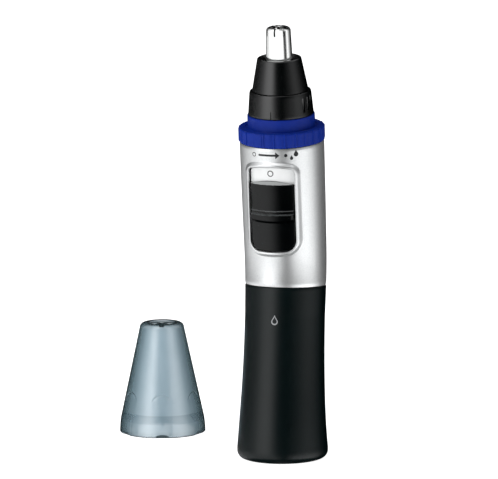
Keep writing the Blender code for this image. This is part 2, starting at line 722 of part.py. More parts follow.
def make_cap(smoke):
    crown = 1.7 * MM
    dish = 4.5 * MM
    top = CAP_HEIGHT - crown
    crown_radius = cap_radius(top)
    centre = (crown_radius - crown, top)
    outside = [(cap_radius(h), h) for h in (0, 2.4 * MM, CAP_BAND, top)]
    outside += arc(centre, crown, 15, 90, 4) + [(dish, CAP_HEIGHT), (dish, CAP_HEIGHT - 0.5 * MM)]
    inner_top = CAP_HEIGHT - 0.5 * MM - CAP_WALL
    step = 7.2 * MM
    band_bore = 12.25 * MM
    inside = [
        (0, CAP_HEIGHT - 0.5 * MM),
        (0, inner_top),
        (cap_radius(inner_top) - CAP_WALL - MM, inner_top),
        (cap_radius(inner_top - 1.2 * MM) - CAP_WALL, inner_top - 1.2 * MM),
        (cap_radius(step) - CAP_WALL, step),
        (band_bore, step - 0.3 * MM),
        (band_bore, 0),
    ]
    cap = place("protective_cap", turned(outside + inside, OUTER_SEGMENTS), smoke)
    cap.location = CAP_PLACE
    cap.rotation_euler = (0, 0, CAP_TURN)
    ribs = spokes(CAP_NOTCHES, (10.95 * MM, -0.4 * MM, 0.6 * MM), (12.7 * MM, 0.4 * MM, 6.4 * MM),
                  turn=math.radians(-77.5))
    join(cap, ribs)
    notch = [(13.1 * MM, x, z) for x, z in arch_outline(NOTCH_HALF, NOTCH_HEIGHT)]
    cut(cap, around(CAP_NOTCHES, extruded(notch, (2 * MM, 0, 0)), math.radians(-90)))
    for x in (-2.4 * MM, 2.4 * MM):
        hole = cylinder(0.9 * MM, CAP_HEIGHT - 4 * MM, CAP_HEIGHT + MM, 16)
        hole.transform(Matrix.Translation((x, 0, 0)))
        cut(cap, hole)
    cut(cap, spokes(2, (3.5 * MM, -1.1 * MM, CAP_HEIGHT - 0.5 * MM), (9 * MM, 1.1 * MM, CAP_HEIGHT + MM),
                    turn=math.radians(-80)))


def main():
    for obj in list(bpy.data.objects):
        bpy.data.objects.remove(obj)
    lower = straight_axis("lower_axis", LOWER_REFERENCE)
    upper = straight_axis("upper_axis", BEND_END)

    black_paint = material("black_soft_paint", (0.025, 0.03, 0.032), 0.5)
    black = material("black_plastic", (0.02, 0.022, 0.023), 0.38)
    silver = material("silver_paint", (0.68, 0.7, 0.71), 0.35, 0.6)
    blue = material("blue_plastic", (0.01, 0.03, 0.33), 0.4)
    white = material("white_label", (0.85, 0.86, 0.86), 0.45)
    grey = material("grey_plastic", (0.3, 0.31, 0.32), 0.5)
    rubber = material("seal_rubber", (0.03, 0.03, 0.03), 0.8)
    steel = material("steel", (0.75, 0.76, 0.77), 0.22, 1.0)
    brass = material("brass", (0.75, 0.55, 0.25), 0.3, 1.0)
    copper = material("copper", (0.7, 0.35, 0.2), 0.35, 1.0)
    magnet = material("ferrite", (0.08, 0.08, 0.085), 0.6)
    cell_look = material("cell_wrap", (0.12, 0.3, 0.2), 0.3)
    smoke = material("smoke_plastic", (0.42, 0.5, 0.55), 0.3, alpha=0.5)

    make_battery_cover(lower, black_paint, steel)
    make_frame(lower, grey, rubber, brass, cell_look)
    make_housing(upper, silver)
    make_switch(upper, white, black, rubber, brass)
    make_motor(upper, steel, grey, brass, magnet)
    make_rotor(upper, steel, copper, brass, grey)
    make_body_collar(upper, grey, rubber, steel)
    make_wash_ring(upper, blue)
    make_head(upper, black, steel)
    make_inner_blade(upper, grey, steel)
    make_cap(smoke)


main()
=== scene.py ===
"""The looks of a nose hair trimmer and its protective cap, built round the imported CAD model."""

import math

import bmesh
import bpy
import numpy as np
from mathutils import Matrix, Vector


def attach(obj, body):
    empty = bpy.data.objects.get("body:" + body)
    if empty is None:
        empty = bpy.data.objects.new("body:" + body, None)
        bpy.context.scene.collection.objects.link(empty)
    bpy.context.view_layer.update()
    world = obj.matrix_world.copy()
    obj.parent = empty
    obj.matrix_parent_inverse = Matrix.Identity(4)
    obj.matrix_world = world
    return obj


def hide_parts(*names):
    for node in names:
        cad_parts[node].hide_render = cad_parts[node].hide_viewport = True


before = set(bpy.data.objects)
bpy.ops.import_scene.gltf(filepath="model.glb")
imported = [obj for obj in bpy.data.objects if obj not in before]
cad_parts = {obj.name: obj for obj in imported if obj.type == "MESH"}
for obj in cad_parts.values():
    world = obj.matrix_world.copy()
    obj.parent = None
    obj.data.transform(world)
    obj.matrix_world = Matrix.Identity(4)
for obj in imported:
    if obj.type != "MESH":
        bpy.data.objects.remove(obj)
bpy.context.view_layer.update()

MM = 0.001
TURN = 2 * math.pi
ROUND = 144

# The barrel's leaning axis, and its outside, as the CAD has them
LEAN_LOW = math.radians(-5.25)
LEAN_HIGH = math.radians(4.9)
BASE_BLEND = 19.5 * MM
BEND_START = 51 * MM
BEND_END = 70 * MM
LOWER_REFERENCE = 35 * MM
FOOT_RADIUS = 14.5 * MM
FOOT_HEIGHT = 3 * MM
WAIST_RADIUS = 12.75 * MM
WAIST_HEIGHT = 46 * MM
SHOULDER_RADIUS = 13.4 * MM
FLARE_POWER = 2.1
SHOULDER_POWER = 1.5
COVER_TOP = 55.2 * MM
HOUSING_BOTTOM = 55.5 * MM
HOUSING_TOP = 102.2 * MM
HOUSING_WALL = 1.5 * MM

# The window, the lip round it, and the patch of the housing's front that is made of rings round it
WINDOW_HALF = 7.63 * MM
WINDOW_BOTTOM = 69.15 * MM
WINDOW_TOP = 95.5 * MM
WINDOW_LOW_CORNER = 3.3 * MM
WINDOW_HIGH_CORNER = 1.1 * MM
WINDOW_SAG = 0.4 * MM
WINDOW_ARCH = 0.9 * MM
LIP_CREST = 14.16 * MM
LIP_EDGE = 0.22 * MM
LIP_WIDTH = 0.62 * MM
LIP_SLOPE = 1 * MM
PATCH_ANGLE = math.radians(62.5)
PATCH_BOTTOM = 61.5 * MM
PATCH_TOP = 100.5 * MM

# The slider and the label behind it
SLIDER_HALF = 7.3 * MM
SLIDER_BOTTOM = 69.45 * MM
SLIDER_TOP = 90.5 * MM
SLIDER_ARCH = 1.3 * MM
SLIDER_FACE = 13.55 * MM
SLIDER_BACK = 12.9 * MM
BEVEL_BOTTOM = 90.65 * MM
BEVEL_HEIGHT = 1.1 * MM
BEVEL_DEPTH = 0.6 * MM
THICK_RIDGE = (79.35 * MM, 80.95 * MM)
THICK_RISE = 1.08 * MM
THIN_RIDGE = (81.75 * MM, 82.05 * MM)
THIN_RISE = 0.42 * MM
# The heights of the ridges' upper edges, which get a painted highlight
RIDGE_HIGHLIGHT_RANGE = (80.8 * MM, 82.4 * MM)
LABEL_RADIUS = 12.6 * MM
LABEL_BACK = 10.9 * MM

RING_BOTTOM = 102.5 * MM
RING_TOP = 106.9 * MM
NECK_TOP = 110.8 * MM
CONE_STEP = 118.3 * MM
CONE_TOP = 129 * MM
BLADE_TOP = 138.8 * MM

WASH_RIBS = 24
BLADE_SLOTS = 8

CAP_PLACE = np.array((-51.06 * MM, 30.66 * MM, 0))
CAP_TURN = math.radians(18.5)
CAP_HEIGHT = 35.8 * MM
CAP_SKIRT = 4.8 * MM
CAP_THICKNESS = 1.2 * MM
CAP_RIBS = 6
NOTCH_RADIUS = 13.12 * MM

VIEW_AZIMUTH = 18.5


# The axis


def smoothstep(t):
    t = np.clip(t, 0, 1)
    return t * t * (3 - 2 * t)


def lean(height):
    kink = smoothstep((height - BEND_START) / (BEND_END - BEND_START))
    return LEAN_LOW * smoothstep(height / BASE_BLEND) + (LEAN_HIGH - LEAN_LOW) * kink


_heights = np.linspace(0, 0.15, 3001)
_step = _heights[1]
_middles = lean(_heights[:-1] + _step / 2)
_spine_y = np.concatenate([[0], np.cumsum(-np.sin(_middles) * _step)])
_spine_z = np.concatenate([[0], np.cumsum(np.cos(_middles) * _step)])


def on_spine(points):
    """Carries (x, y, height) points onto the leaning axis."""
    p = np.asarray(points, float)
    angle = lean(p[:, 2])
    y = np.interp(p[:, 2], _heights, _spine_y) + p[:, 1] * np.cos(angle)
    z = np.interp(p[:, 2], _heights, _spine_z) + p[:, 1] * np.sin(angle)
    return np.stack([p[:, 0], y, z], 1)


def straight(reference):
    """The same for one of the axis's straight stretches, which is carried on past its ends."""
    angle = float(lean(reference))
    start_y = float(np.interp(reference, _heights, _spine_y)) + math.sin(angle) * reference
    start_z = float(np.interp(reference, _heights, _spine_z)) - math.cos(angle) * reference

    def carry(points):
        p = np.asarray(points, float)
        y = start_y - math.sin(angle) * p[:, 2] + p[:, 1] * math.cos(angle)
        z = start_z + math.cos(angle) * p[:, 2] + p[:, 1] * math.sin(angle)
        return np.stack([p[:, 0], y, z], 1)

    return carry


on_upper = straight(BEND_END)
on_lower = straight(LOWER_REFERENCE)


def on_cap(points):
    p = np.asarray(points, float)
    c, s = math.cos(CAP_TURN), math.sin(CAP_TURN)
    turned = np.stack([p[:, 0] * c - p[:, 1] * s, p[:, 0] * s + p[:, 1] * c, p[:, 2]], 1)
    return turned + CAP_PLACE


def barrel_radius(height):
    height = np.asarray(height, float)
    low = np.clip((WAIST_HEIGHT - height) / (WAIST_HEIGHT - FOOT_HEIGHT), 0, None)
    high = np.clip((height - WAIST_HEIGHT) / (HOUSING_TOP - WAIST_HEIGHT), 0, 1)
    flare = WAIST_RADIUS + (FOOT_RADIUS - WAIST_RADIUS) * low**FLARE_POWER
    shoulder = WAIST_RADIUS + (SHOULDER_RADIUS - WAIST_RADIUS) * (1 - (1 - high) ** SHOULDER_POWER)
    return np.where(height < WAIST_HEIGHT, flare, shoulder)


def turned_point(radius, azimuth, height):
    """A point of a round surface. Azimuth 0 is the front, -Y, and grows towards +X."""
    return radius * math.sin(azimuth), -radius * math.cos(azimuth), height


def front_point(x, radius, height):
    """The point of a round surface's front that lies that far across."""
    return x, -math.sqrt(radius * radius - x * x), height


# Materials


class Nodes:
    """A material's node tree, with short calls for the nodes used here."""

    def __init__(self, name, **sockets):
        self.material = bpy.data.materials.new(name)
        self.material.use_nodes = True
        self.tree = self.material.node_tree
        self.shader = self.tree.nodes["Principled BSDF"]
        for key, value in sockets.items():
            self.shader.inputs[key.replace("_", " ")].default_value = value

    def add(self, kind, **settings):
        node = self.tree.nodes.new(kind)
        for key, value in settings.items():
            if key in node.inputs:
                node.inputs[key].default_value = value
            else:
                setattr(node, key, value)
        return node

    def link(self, a, b):
        self.tree.links.new(a, b)

    def place(self, scale=(1, 1, 1)):
        coordinates = self.add("ShaderNodeTexCoord")
        mapping = self.add("ShaderNodeMapping", Scale=scale)
        self.link(coordinates.outputs["Object"], mapping.inputs["Vector"])
        return mapping.outputs["Vector"]

    def noise(self, scale, detail=2.0, stretch=(1, 1, 1)):
        node = self.add("ShaderNodeTexNoise", Scale=scale, Detail=detail)
        self.link(self.place(stretch), node.inputs["Vector"])
        return node.outputs["Fac"]

    def ramp(self, value, stops):
        node = self.add("ShaderNodeValToRGB")
        while len(node.color_ramp.elements) < len(stops):
            node.color_ramp.elements.new(0.5)
        for element, (position, colour) in zip(node.color_ramp.elements, stops):
            element.position = position
            element.color = (*colour, 1) if len(colour) == 3 else colour
        self.link(value, node.inputs["Fac"])
        return node.outputs["Color"]

    def spread(self, value, low, high):
        node = self.add("ShaderNodeMapRange")
        node.inputs["To Min"].default_value = low
        node.inputs["To Max"].default_value = high
        self.link(value, node.inputs["Value"])
        return node.outputs["Result"]

    def height_share(self, top):
        """The height in the object's own space, as a share of the way up to the top."""
        coordinates = self.add("ShaderNodeTexCoord")
        split = self.add("ShaderNodeSeparateXYZ")
        self.link(coordinates.outputs["Object"], split.inputs["Vector"])
        share = self.add("ShaderNodeMapRange")
        share.inputs["From Max"].default_value = top
        self.link(split.outputs["Z"], share.inputs["Value"])
        return share.outputs["Result"]

    def bump(self, value, strength, distance=0.02 * MM):
        node = self.add("ShaderNodeBump", Strength=strength, Distance=distance)
        self.link(value, node.inputs["Height"])
        self.link(node.outputs["Normal"], self.shader.inputs["Normal"])


def moulded(name, dark, light, roughness, grain=5200, strength=0.25, **sockets):
    """A moulded or painted plastic: a fine grain, and slow changes of colour and gloss."""
    n = Nodes(name, **sockets)
    slow = n.noise(130, 3.0)
    n.link(n.ramp(slow, [(0.3, dark), (0.7, light)]), n.shader.inputs["Base Color"])
    n.link(n.spread(n.noise(420, 4.0), roughness[0], roughness[1]), n.shader.inputs["Roughness"])
    n.bump(n.noise(grain, 3.0), strength)
    return n.material


def metal(name, dark, light, roughness, stretch=(1, 1, 12), strength=0.2, **sockets):
    """A bare metal, brushed or drawn along its narrow direction."""
    n = Nodes(name, Metallic=1.0, **sockets)
    lines = n.noise(900, 4.0, stretch)
    n.link(n.ramp(lines, [(0.25, dark), (0.75, light)]), n.shader.inputs["Base Color"])
    n.link(n.spread(n.noise(1500, 3.0, stretch), roughness[0], roughness[1]), n.shader.inputs["Roughness"])
    n.bump(lines, strength, 0.004 * MM)
    return n.material


def silver_paint():
    """Metallic paint: tiny flakes that sparkle under a satin lacquer."""
    n = Nodes("silver_paint", Metallic=0.85, Coat_Weight=0.1, Coat_Roughness=0.25)
    flakes = n.add("ShaderNodeTexVoronoi", Scale=4600)
    n.link(n.place(), flakes.inputs["Vector"])
    tone = n.ramp(flakes.outputs["Distance"], [(0.1, (0.86, 0.87, 0.87)), (0.8, (0.71, 0.725, 0.73))])
    n.link(tone, n.shader.inputs["Base Color"])
    n.link(n.spread(n.noise(2600, 4.0), 0.3, 0.4), n.shader.inputs["Roughness"])
    n.bump(n.noise(7000, 3.0), 0.22, 0.012 * MM)
    return n.material


def smoke_plastic():
    """Frosted see-through plastic of a blue-grey smoke colour, which is denser where it's seen edge on and
    where the wall is thicker, near its rim."""
    n = Nodes("smoke_plastic", IOR=1.7, Coat_Weight=1.0, Coat_IOR=1.6, Coat_Roughness=0.16)
    facing = n.add("ShaderNodeLayerWeight", Blend=0.5).outputs["Facing"]
    tint = n.ramp(facing, [
        (0.0, (0.3, 0.4, 0.46)),
        (0.18, (0.26, 0.35, 0.4)),
        (0.38, (0.15, 0.215, 0.25)),
        (0.6, (0.075, 0.12, 0.138)),
        (0.95, (0.02, 0.04, 0.045)),
    ])
    band = n.ramp(n.height_share(10 * MM), [
        (0.02, (0.4, 0.43, 0.45)),
        (0.06, (0.86, 0.87, 0.88)),
        (0.2, (1, 1, 1)),
        (0.42, (1, 1, 1)),
        (0.45, (0.86, 0.88, 0.89)),
        (0.7, (0.7, 0.74, 0.76)),
        (0.73, (1, 1, 1)),
    ])
    slow = n.ramp(n.noise(150, 3.0), [(0.3, (0.94, 0.95, 0.95)), (0.7, (1, 1, 1))])
    for other in (band, slow):
        mix = n.add("ShaderNodeMix", data_type="RGBA", blend_type="MULTIPLY")
        mix.inputs[0].default_value = 1
        n.link(tint, mix.inputs[6])
        n.link(other, mix.inputs[7])
        tint = mix.outputs[2]
    n.link(tint, n.shader.inputs["Base Color"])
    n.link(n.spread(n.noise(900, 4.0), 0.25, 0.28), n.shader.inputs["Roughness"])
    n.bump(n.noise(4200, 3.0), 0.06)
    cover = n.ramp(facing, [(0.0, (0.64,) * 3), (0.3, (0.72,) * 3), (0.6, (0.93,) * 3), (0.9, (0.97,) * 3)])
    n.link(cover, n.shader.inputs["Alpha"])
    return n.material


def cell_wrap():
    """The battery's printed wrap: a band of colour at its upper end, without any mark."""
    n = Nodes("cell_wrap", Metallic=0.55, Roughness=0.3, Coat_Weight=0.5)
    colour = n.ramp(n.height_share(60 * MM), [
        (0.0, (0.5, 0.5, 0.5)),
        (0.12, (0.012, 0.1, 0.07)),
        (0.68, (0.012, 0.1, 0.07)),
        (0.7, (0.55, 0.42, 0.16)),
        (0.9, (0.5, 0.5, 0.5)),
    ])
    colour.node.color_ramp.interpolation = "CONSTANT"
    n.link(colour, n.shader.inputs["Base Color"])
    n.bump(n.noise(3000, 3.0), 0.1)
    return n.material


SOFT_BLACK = moulded("soft_black_paint", (0.0004, 0.0028, 0.0031), (0.0007, 0.0038, 0.0042), (0.27, 0.33),
                     6000, Specular_IOR_Level=0.3)
SLIDER_BLACK = moulded("slider_black", (0.0004, 0.0007, 0.0009), (0.0007, 0.0012, 0.0014), (0.2, 0.26),
                       6000, Specular_IOR_Level=0.22)
BLACK = moulded("black_plastic", (0.0005, 0.0009, 0.001), (0.0008, 0.0014, 0.0016), (0.22, 0.27), 5200,
                0.15, Coat_Weight=0.5, Coat_Roughness=0.2)
BLUE = moulded("blue_plastic", (0.0022, 0.0185, 0.212), (0.0032, 0.0225, 0.248), (0.34, 0.44), 5000,
               Specular_IOR_Level=0.12)
WHITE = moulded("white_label", (0.80, 0.81, 0.81), (0.86, 0.87, 0.87), (0.4, 0.5), 6000, 0.12)
# The next material and the rubbed one after it are paler materials that paint highlights on the slider's
# up-facing bevel and ridge edges
PAINTED_BEVEL_HIGHLIGHT = moulded("painted_bevel_highlight", (0.3, 0.31, 0.31), (0.38, 0.39, 0.39), (0.35, 0.45), 6000, 0.12)
# A darker smoke colour that paints shade into the recesses of the cap's rim notches
PAINTED_NOTCH_SHADE = moulded("painted_notch_shade", (0.03, 0.05, 0.058), (0.045, 0.07, 0.08), (0.4, 0.5), 6000, 0.12)
PAINTED_RIDGE_HIGHLIGHT = moulded("painted_ridge_highlight", (0.05, 0.055, 0.056), (0.08, 0.086, 0.088), (0.3, 0.4), 6000, 0.12)
INK = moulded("printed_ink", (0.006, 0.007, 0.008), (0.01, 0.011, 0.012), (0.4, 0.5), 8000, 0.1)
PALE_INK = moulded("pale_ink", (0.30, 0.31, 0.32), (0.36, 0.37, 0.38), (0.4, 0.5), 8000, 0.1)
GREY = moulded("grey_plastic", (0.16, 0.165, 0.17), (0.2, 0.205, 0.21), (0.45, 0.55), 4200)
RUBBER = moulded("seal_rubber", (0.012, 0.012, 0.013), (0.02, 0.02, 0.021), (0.6, 0.75), 3600, 0.3)
FERRITE = moulded("ferrite", (0.03, 0.03, 0.032), (0.06, 0.06, 0.063), (0.55, 0.7), 2600, 0.5)
STEEL = metal("steel", (0.72, 0.725, 0.72), (0.84, 0.845, 0.84), (0.12, 0.2), Anisotropic=0.3)
BRASS = metal("brass", (0.62, 0.42, 0.17), (0.74, 0.54, 0.26), (0.22, 0.34))
COPPER = metal("copper_wire", (0.5, 0.2, 0.09), (0.68, 0.33, 0.17), (0.25, 0.4), (1, 1, 30), 0.6)
SILVER = silver_paint()
SMOKE = smoke_plastic()
CELL = cell_wrap()


# Meshes


def add_object(name, data):
    obj = bpy.data.objects.new(name, data)
    bpy.context.scene.collection.objects.link(obj)
    return obj


def add_mesh(name, points, faces, look):
    mesh = bpy.data.meshes.new(name)
    mesh.from_pydata([tuple(p) for p in points], [], faces)
    mesh.validate()
    bm = bmesh.new()
    bm.from_mesh(mesh)
    bmesh.ops.recalc_face_normals(bm, faces=bm.faces)
    bm.to_mesh(mesh)
    bm.free()
    mesh.materials.append(look)
    obj = add_object(name, mesh)
    shade(obj)
    return obj


def shade(obj, angle=32):
    obj.data.shade_smooth()
    obj.data.set_sharp_from_angle(angle=math.radians(angle))


def move(obj, mapping):
    co = np.array([v.co for v in obj.data.vertices], float)
    obj.data.vertices.foreach_set("co", mapping(co).astype(np.float32).ravel())
    obj.data.update()


def finish_piece(obj, body, slot, *nodes):
    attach(obj, body)
    if nodes:
        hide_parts(*nodes)
    return obj


def rounded(corners, steps=5):
    """A closed profile of (radius, height, rounding) corners, with each corner rounded off."""
    out = []
    for i, (r, z, size) in enumerate(corners):
        here = np.array((r, z), float)
        if size <= 0:
            out.append(here)
            continue
        before = np.array(corners[i - 1][:2], float) - here
        after = np.array(corners[(i + 1) % len(corners)][:2], float) - here
        reach_before, reach_after = np.linalg.norm(before), np.linalg.norm(after)
        before, after = before / reach_before, after / reach_after
        half = math.acos(np.clip(before @ after, -1, 1)) / 2
        back = min(size / math.tan(half), 0.49 * reach_before, 0.49 * reach_after)
        size = back * math.tan(half)
        centre = here + (before + after) / np.linalg.norm(before + after) * size / math.sin(half)
        a, b = here + before * back - centre, here + after * back - centre
        for k in range(steps + 1):
            t = k / steps
            sweep = math.pi - 2 * half
            mix = (math.sin((1 - t) * sweep) * a + math.sin(t * sweep) * b) / math.sin(sweep)
            out.append(centre + mix)
    return [(float(p[0]), float(p[1])) for p in out]


def denser(profile, longest):
    """The closed profile with points added so that no stretch is longer than that."""
    out = []
    for (r0, z0), (r1, z1) in zip(profile, profile[1:] + profile[:1]):
        count = 1
        if r0 > 1e-7 or r1 > 1e-7:
            count = max(1, math.ceil(math.hypot(r1 - r0, z1 - z0) / longest))
        out += [(r0 + (r1 - r0) * k / count, z0 + (z1 - z0) * k / count) for k in range(count)]
    return out


def lathe(profile, around=ROUND, push=None):
    """The closed (radius, height) profile turned about Z. push(azimuth, r, z) moves points by radius."""
    azimuths = np.arange(around) * TURN / around
    points, rings = [], []
    for r, z in profile:
        if r < 1e-7:
            rings.append([len(points)])
            points.append((0, 0, z))
            continue
        radii = np.full(around, r)
        if push:
            radii = radii + push(azimuths, radii, np.full(around, z))
        rings.append(list(range(len(points), len(points) + around)))
        points += list(zip(radii * np.sin(azimuths), -radii * np.cos(azimuths), np.full(around, z)))
    faces = []
    for a, b in zip(rings, rings[1:] + rings[:1]):
        if len(a) == 1 and len(b) == 1:
            continue
        for i in range(around):
            j = (i + 1) % around
            if len(a) == 1:
                faces.append((a[0], b[i], b[j]))
            elif len(b) == 1:
                faces.append((a[i], b[0], a[j]))
            else:
                faces.append((a[i], b[i], b[j], a[j]))
    return np.array(points, float), faces


def box_mesh(low, high, rounding=0.0, turn=0.0):
    bm = bmesh.new()
    low, high = Vector(low), Vector(high)
    place = Matrix.Rotation(turn, 4, "Z") @ Matrix.Translation((low + high) / 2)
    bmesh.ops.create_cube(bm, size=1, matrix=place @ Matrix.Diagonal((*(high - low), 1)))
    if rounding:
        bmesh.ops.bevel(bm, geom=bm.edges[:], offset=rounding, segments=3, affect="EDGES", profile=0.5)
    return bm


def boolean(obj, cutters, operation="DIFFERENCE"):
    """Cuts bmeshes out of the object, or joins them to it, for good."""
    helpers = []
    for bm in cutters:
        mesh = bpy.data.meshes.new("cutter")
        bm.to_mesh(mesh)
        bm.free()
        helper = add_object("cutter", mesh)
        modifier = obj.modifiers.new("cut", "BOOLEAN")
        modifier.operation = operation
        modifier.solver = "EXACT"
        modifier.object = helper
        helpers.append(helper)
    bpy.context.view_layer.update()
    graph = bpy.context.evaluated_depsgraph_get()
    made = bpy.data.meshes.new_from_object(obj.evaluated_get(graph))
    obj.modifiers.clear()
    obj.data = made
    for helper in helpers:
        bpy.data.objects.remove(helper)
    shade(obj)
    return obj


# The base


def make_cover():
    heights = np.linspace(3.2 * MM, COVER_TOP - 0.3 * MM, 66)
    curve = []
    for t in np.linspace(0, 1, 12):
        angle = math.radians(-90 + 84 * t)
        curve.append((12.2 * MM + 2.28 * MM * math.cos(angle), 2.4 * MM + 2.4 * MM * math.sin(angle)))
    side = [(float(barrel_radius(h)), float(h)) for h in heights]
    rim = [(float(barrel_radius(COVER_TOP)) - 0.05 * MM, COVER_TOP - 0.1 * MM),
           (float(barrel_radius(COVER_TOP)) - 0.18 * MM, COVER_TOP)]
    bore = [(11.25 * MM, COVER_TOP), (11 * MM, COVER_TOP - 0.25 * MM)]
    bore += [(11 * MM, h) for h in np.linspace(50 * MM, 3 * MM, 24)]
    bore += [(10.6 * MM, 2.6 * MM), (0, 2.6 * MM)]
    under = [(0, 0.5 * MM), (9.6 * MM, 0.5 * MM), (10 * MM, 0.1 * MM), (10.3 * MM, 0)]
    profile = under + curve + side + rim + bore
    points, faces = lathe(profile)
    count = len(under) + len(curve) + len(side) + len(rim)
    outer = 1 + (count - 1) * ROUND
    carried = on_spine(points)
    carried[outer:] = on_lower(points[outer:])
    cover = add_mesh("battery_cover_shell", carried, faces, SOFT_BLACK)
    return finish_piece(cover, "base", "black_soft_paint", "battery_cover")


# The silver housing, with its window


def outline_distance(x, s, half, low, high, low_corner, high_corner):
    """How far outside a block with rounded corners a point of its front is; negative inside."""
    corner = np.where(s < (low + high) / 2, low_corner, high_corner)
    middle, reach = (low + high) / 2, (high - low) / 2
    qx = np.abs(x) - half + corner
    qs = np.abs(s - middle) - reach + corner
    outside = np.hypot(np.maximum(qx, 0), np.maximum(qs, 0))
    return outside + np.minimum(np.maximum(qx, qs), 0) - corner


def bow(x, s, half, low, high, sag, arch):
    """How far a sagging lower edge and an arched upper edge move a point along the axis."""
    middle = 1 - (x / half) ** 2
    t = (s - low) / (high - low)
    return (arch * t - sag * (1 - t)) * middle


def window_distance(x, s):
    level = s - bow(x, s, WINDOW_HALF, WINDOW_BOTTOM, WINDOW_TOP, WINDOW_SAG, WINDOW_ARCH)
    return outline_distance(x, level, WINDOW_HALF, WINDOW_BOTTOM, WINDOW_TOP, WINDOW_LOW_CORNER,
                            WINDOW_HIGH_CORNER)


def way_out(core, target, wanted):
    """The share of the way from the core, in the window, to the target where that distance from the window
    is met."""
    low, high = 0.0, 1.0
    for _ in range(40):
        middle = (low + high) / 2
        x, s = core + (target - core) * middle
        if window_distance(x, s) < wanted:
            low = middle
        else:
            high = middle
    return (low + high) / 2


def lip_radius(distance, barrel):
    """The housing's radius that far from the window: a crest with a rounded edge, then a slope down to the
    barrel."""
    d = np.maximum(distance, 0)
    rounding = np.sqrt(np.maximum(LIP_EDGE**2 - np.maximum(LIP_EDGE - d, 0) ** 2, 0))
    slope = LIP_CREST + (barrel - LIP_CREST) * smoothstep((d - LIP_WIDTH) / LIP_SLOPE)
    return np.where(d < LIP_WIDTH, LIP_CREST - LIP_EDGE + rounding, slope)


def make_housing():
    """The silver tube. A patch of its rows and columns gives way to rings round the window."""
    columns = np.arange(ROUND) * TURN / ROUND - math.pi
    patch = [i for i, angle in enumerate(columns) if abs(angle) <= PATCH_ANGLE + 1e-9]
    rows_low = np.linspace(HOUSING_BOTTOM, PATCH_BOTTOM, 9)
    rows_mid = np.linspace(PATCH_BOTTOM, PATCH_TOP, 60)
    rows_high = np.linspace(PATCH_TOP, HOUSING_TOP, 5)
    rows = np.concatenate([rows_low, rows_mid[1:], rows_high[1:]])
    first, last = len(rows_low) - 1, len(rows_low) + len(rows_mid) - 2
    ends = (0, len(rows) - 1)
    end_inset = 0.16 * MM
    points, index = [], {}

    def grid_point(side, i, j, inset):
        """The index of a point of the grid, which is made when it's first asked for."""
        key = (side, i % ROUND, j)
        if key not in index:
            index[key] = len(points)
            points.append(turned_point(float(barrel_radius(rows[j])) - inset, columns[i % ROUND], rows[j]))
        return index[key]

    def outside(i, j):
        return grid_point("outside", i, j, end_inset if j in ends else 0)

    def inside(i, j):
        return grid_point("inside", i, j, HOUSING_WALL)

    faces = []
    for j in range(len(rows) - 1):
        for i in range(ROUND):
            if patch[0] <= i < patch[-1] and first <= j < last:
                continue
            faces.append((outside(i, j), outside(i + 1, j), outside(i + 1, j + 1), outside(i, j + 1)))
            faces.append((inside(i, j), inside(i, j + 1), inside(i + 1, j + 1), inside(i + 1, j)))
    for j in ends:
        for i in range(ROUND):
            faces.append((outside(i, j), outside(i + 1, j), inside(i + 1, j), inside(i, j)))

    border = [(i, first) for i in range(patch[0], patch[-1])]
    border += [(patch[-1], j) for j in range(first, last)]
    border += [(i, last) for i in range(patch[-1], patch[0], -1)]
    border += [(patch[0], j) for j in range(last, first, -1)]
    window_middle = (WINDOW_BOTTOM + WINDOW_TOP) / 2
    core_reach = 10.2 * MM
    ring_distances = [0, 0.03, 0.08, 0.15, 0.22, 0.45, 0.7, 0.78, 0.88, 1, 1.12, 1.25, 1.4, 1.52, 1.64, 1.74,
                      1.8, 1.95, 2.2, 2.5]
    reveal_radius, inner_radius = 13.2 * MM, 12 * MM

    outer_chains, inner_chains = [], []
    for i, j in border:
        border_radius = float(barrel_radius(rows[j]))
        target = np.array((border_radius * math.sin(columns[i]), rows[j]))
        rise = (rows[j] - window_middle) * 0.56
        core = np.array((target[0] * 0.3, window_middle + max(-core_reach, min(core_reach, rise))))
        chain = []
        for distance in ring_distances:
            reach = way_out(core, target, distance * MM)
            x, s = core + (target - core) * reach
            chain.append(len(points))
            points.append(front_point(x, float(lip_radius(distance * MM, float(barrel_radius(s)))), s))
        for share in (0.25, 0.5, 0.75):
            x, s = core + (target - core) * (reach + (1 - reach) * share)
            chain.append(len(points))
            points.append(front_point(x, float(barrel_radius(s)), s))
        chain.append(outside(i, j))
        outer_chains.append(chain)

        x, s = core + (target - core) * way_out(core, target, 0)
        chain = [len(points), len(points) + 1]
        points.append(front_point(x, reveal_radius, s))
        points.append(front_point(x, inner_radius, s))
        start = np.array((math.asin(x / inner_radius), s, inner_radius))
        end = np.array((columns[i], rows[j], border_radius - HOUSING_WALL))
        for share in (0.2, 0.4, 0.6, 0.8):
            angle, height, radius = start + (end - start) * share
            chain.append(len(points))
            points.append(turned_point(radius, angle, height))
        chain.append(inside(i, j))
        inner_chains.append(chain)

    for k, (a, c) in enumerate(zip(outer_chains, inner_chains)):
        b, d = outer_chains[(k + 1) % len(border)], inner_chains[(k + 1) % len(border)]
        for p in range(len(a) - 1):
            faces.append((a[p], b[p], b[p + 1], a[p + 1]))
        faces.append((a[0], c[0], d[0], b[0]))
        for p in range(len(c) - 1):
            faces.append((c[p], c[p + 1], d[p + 1], d[p]))
    housing = add_mesh("upper_housing_shell", on_spine(points), faces, SILVER)
    shade(housing, 50)
    return finish_piece(housing, "main_body", "silver_paint", "upper_housing")


# The switch


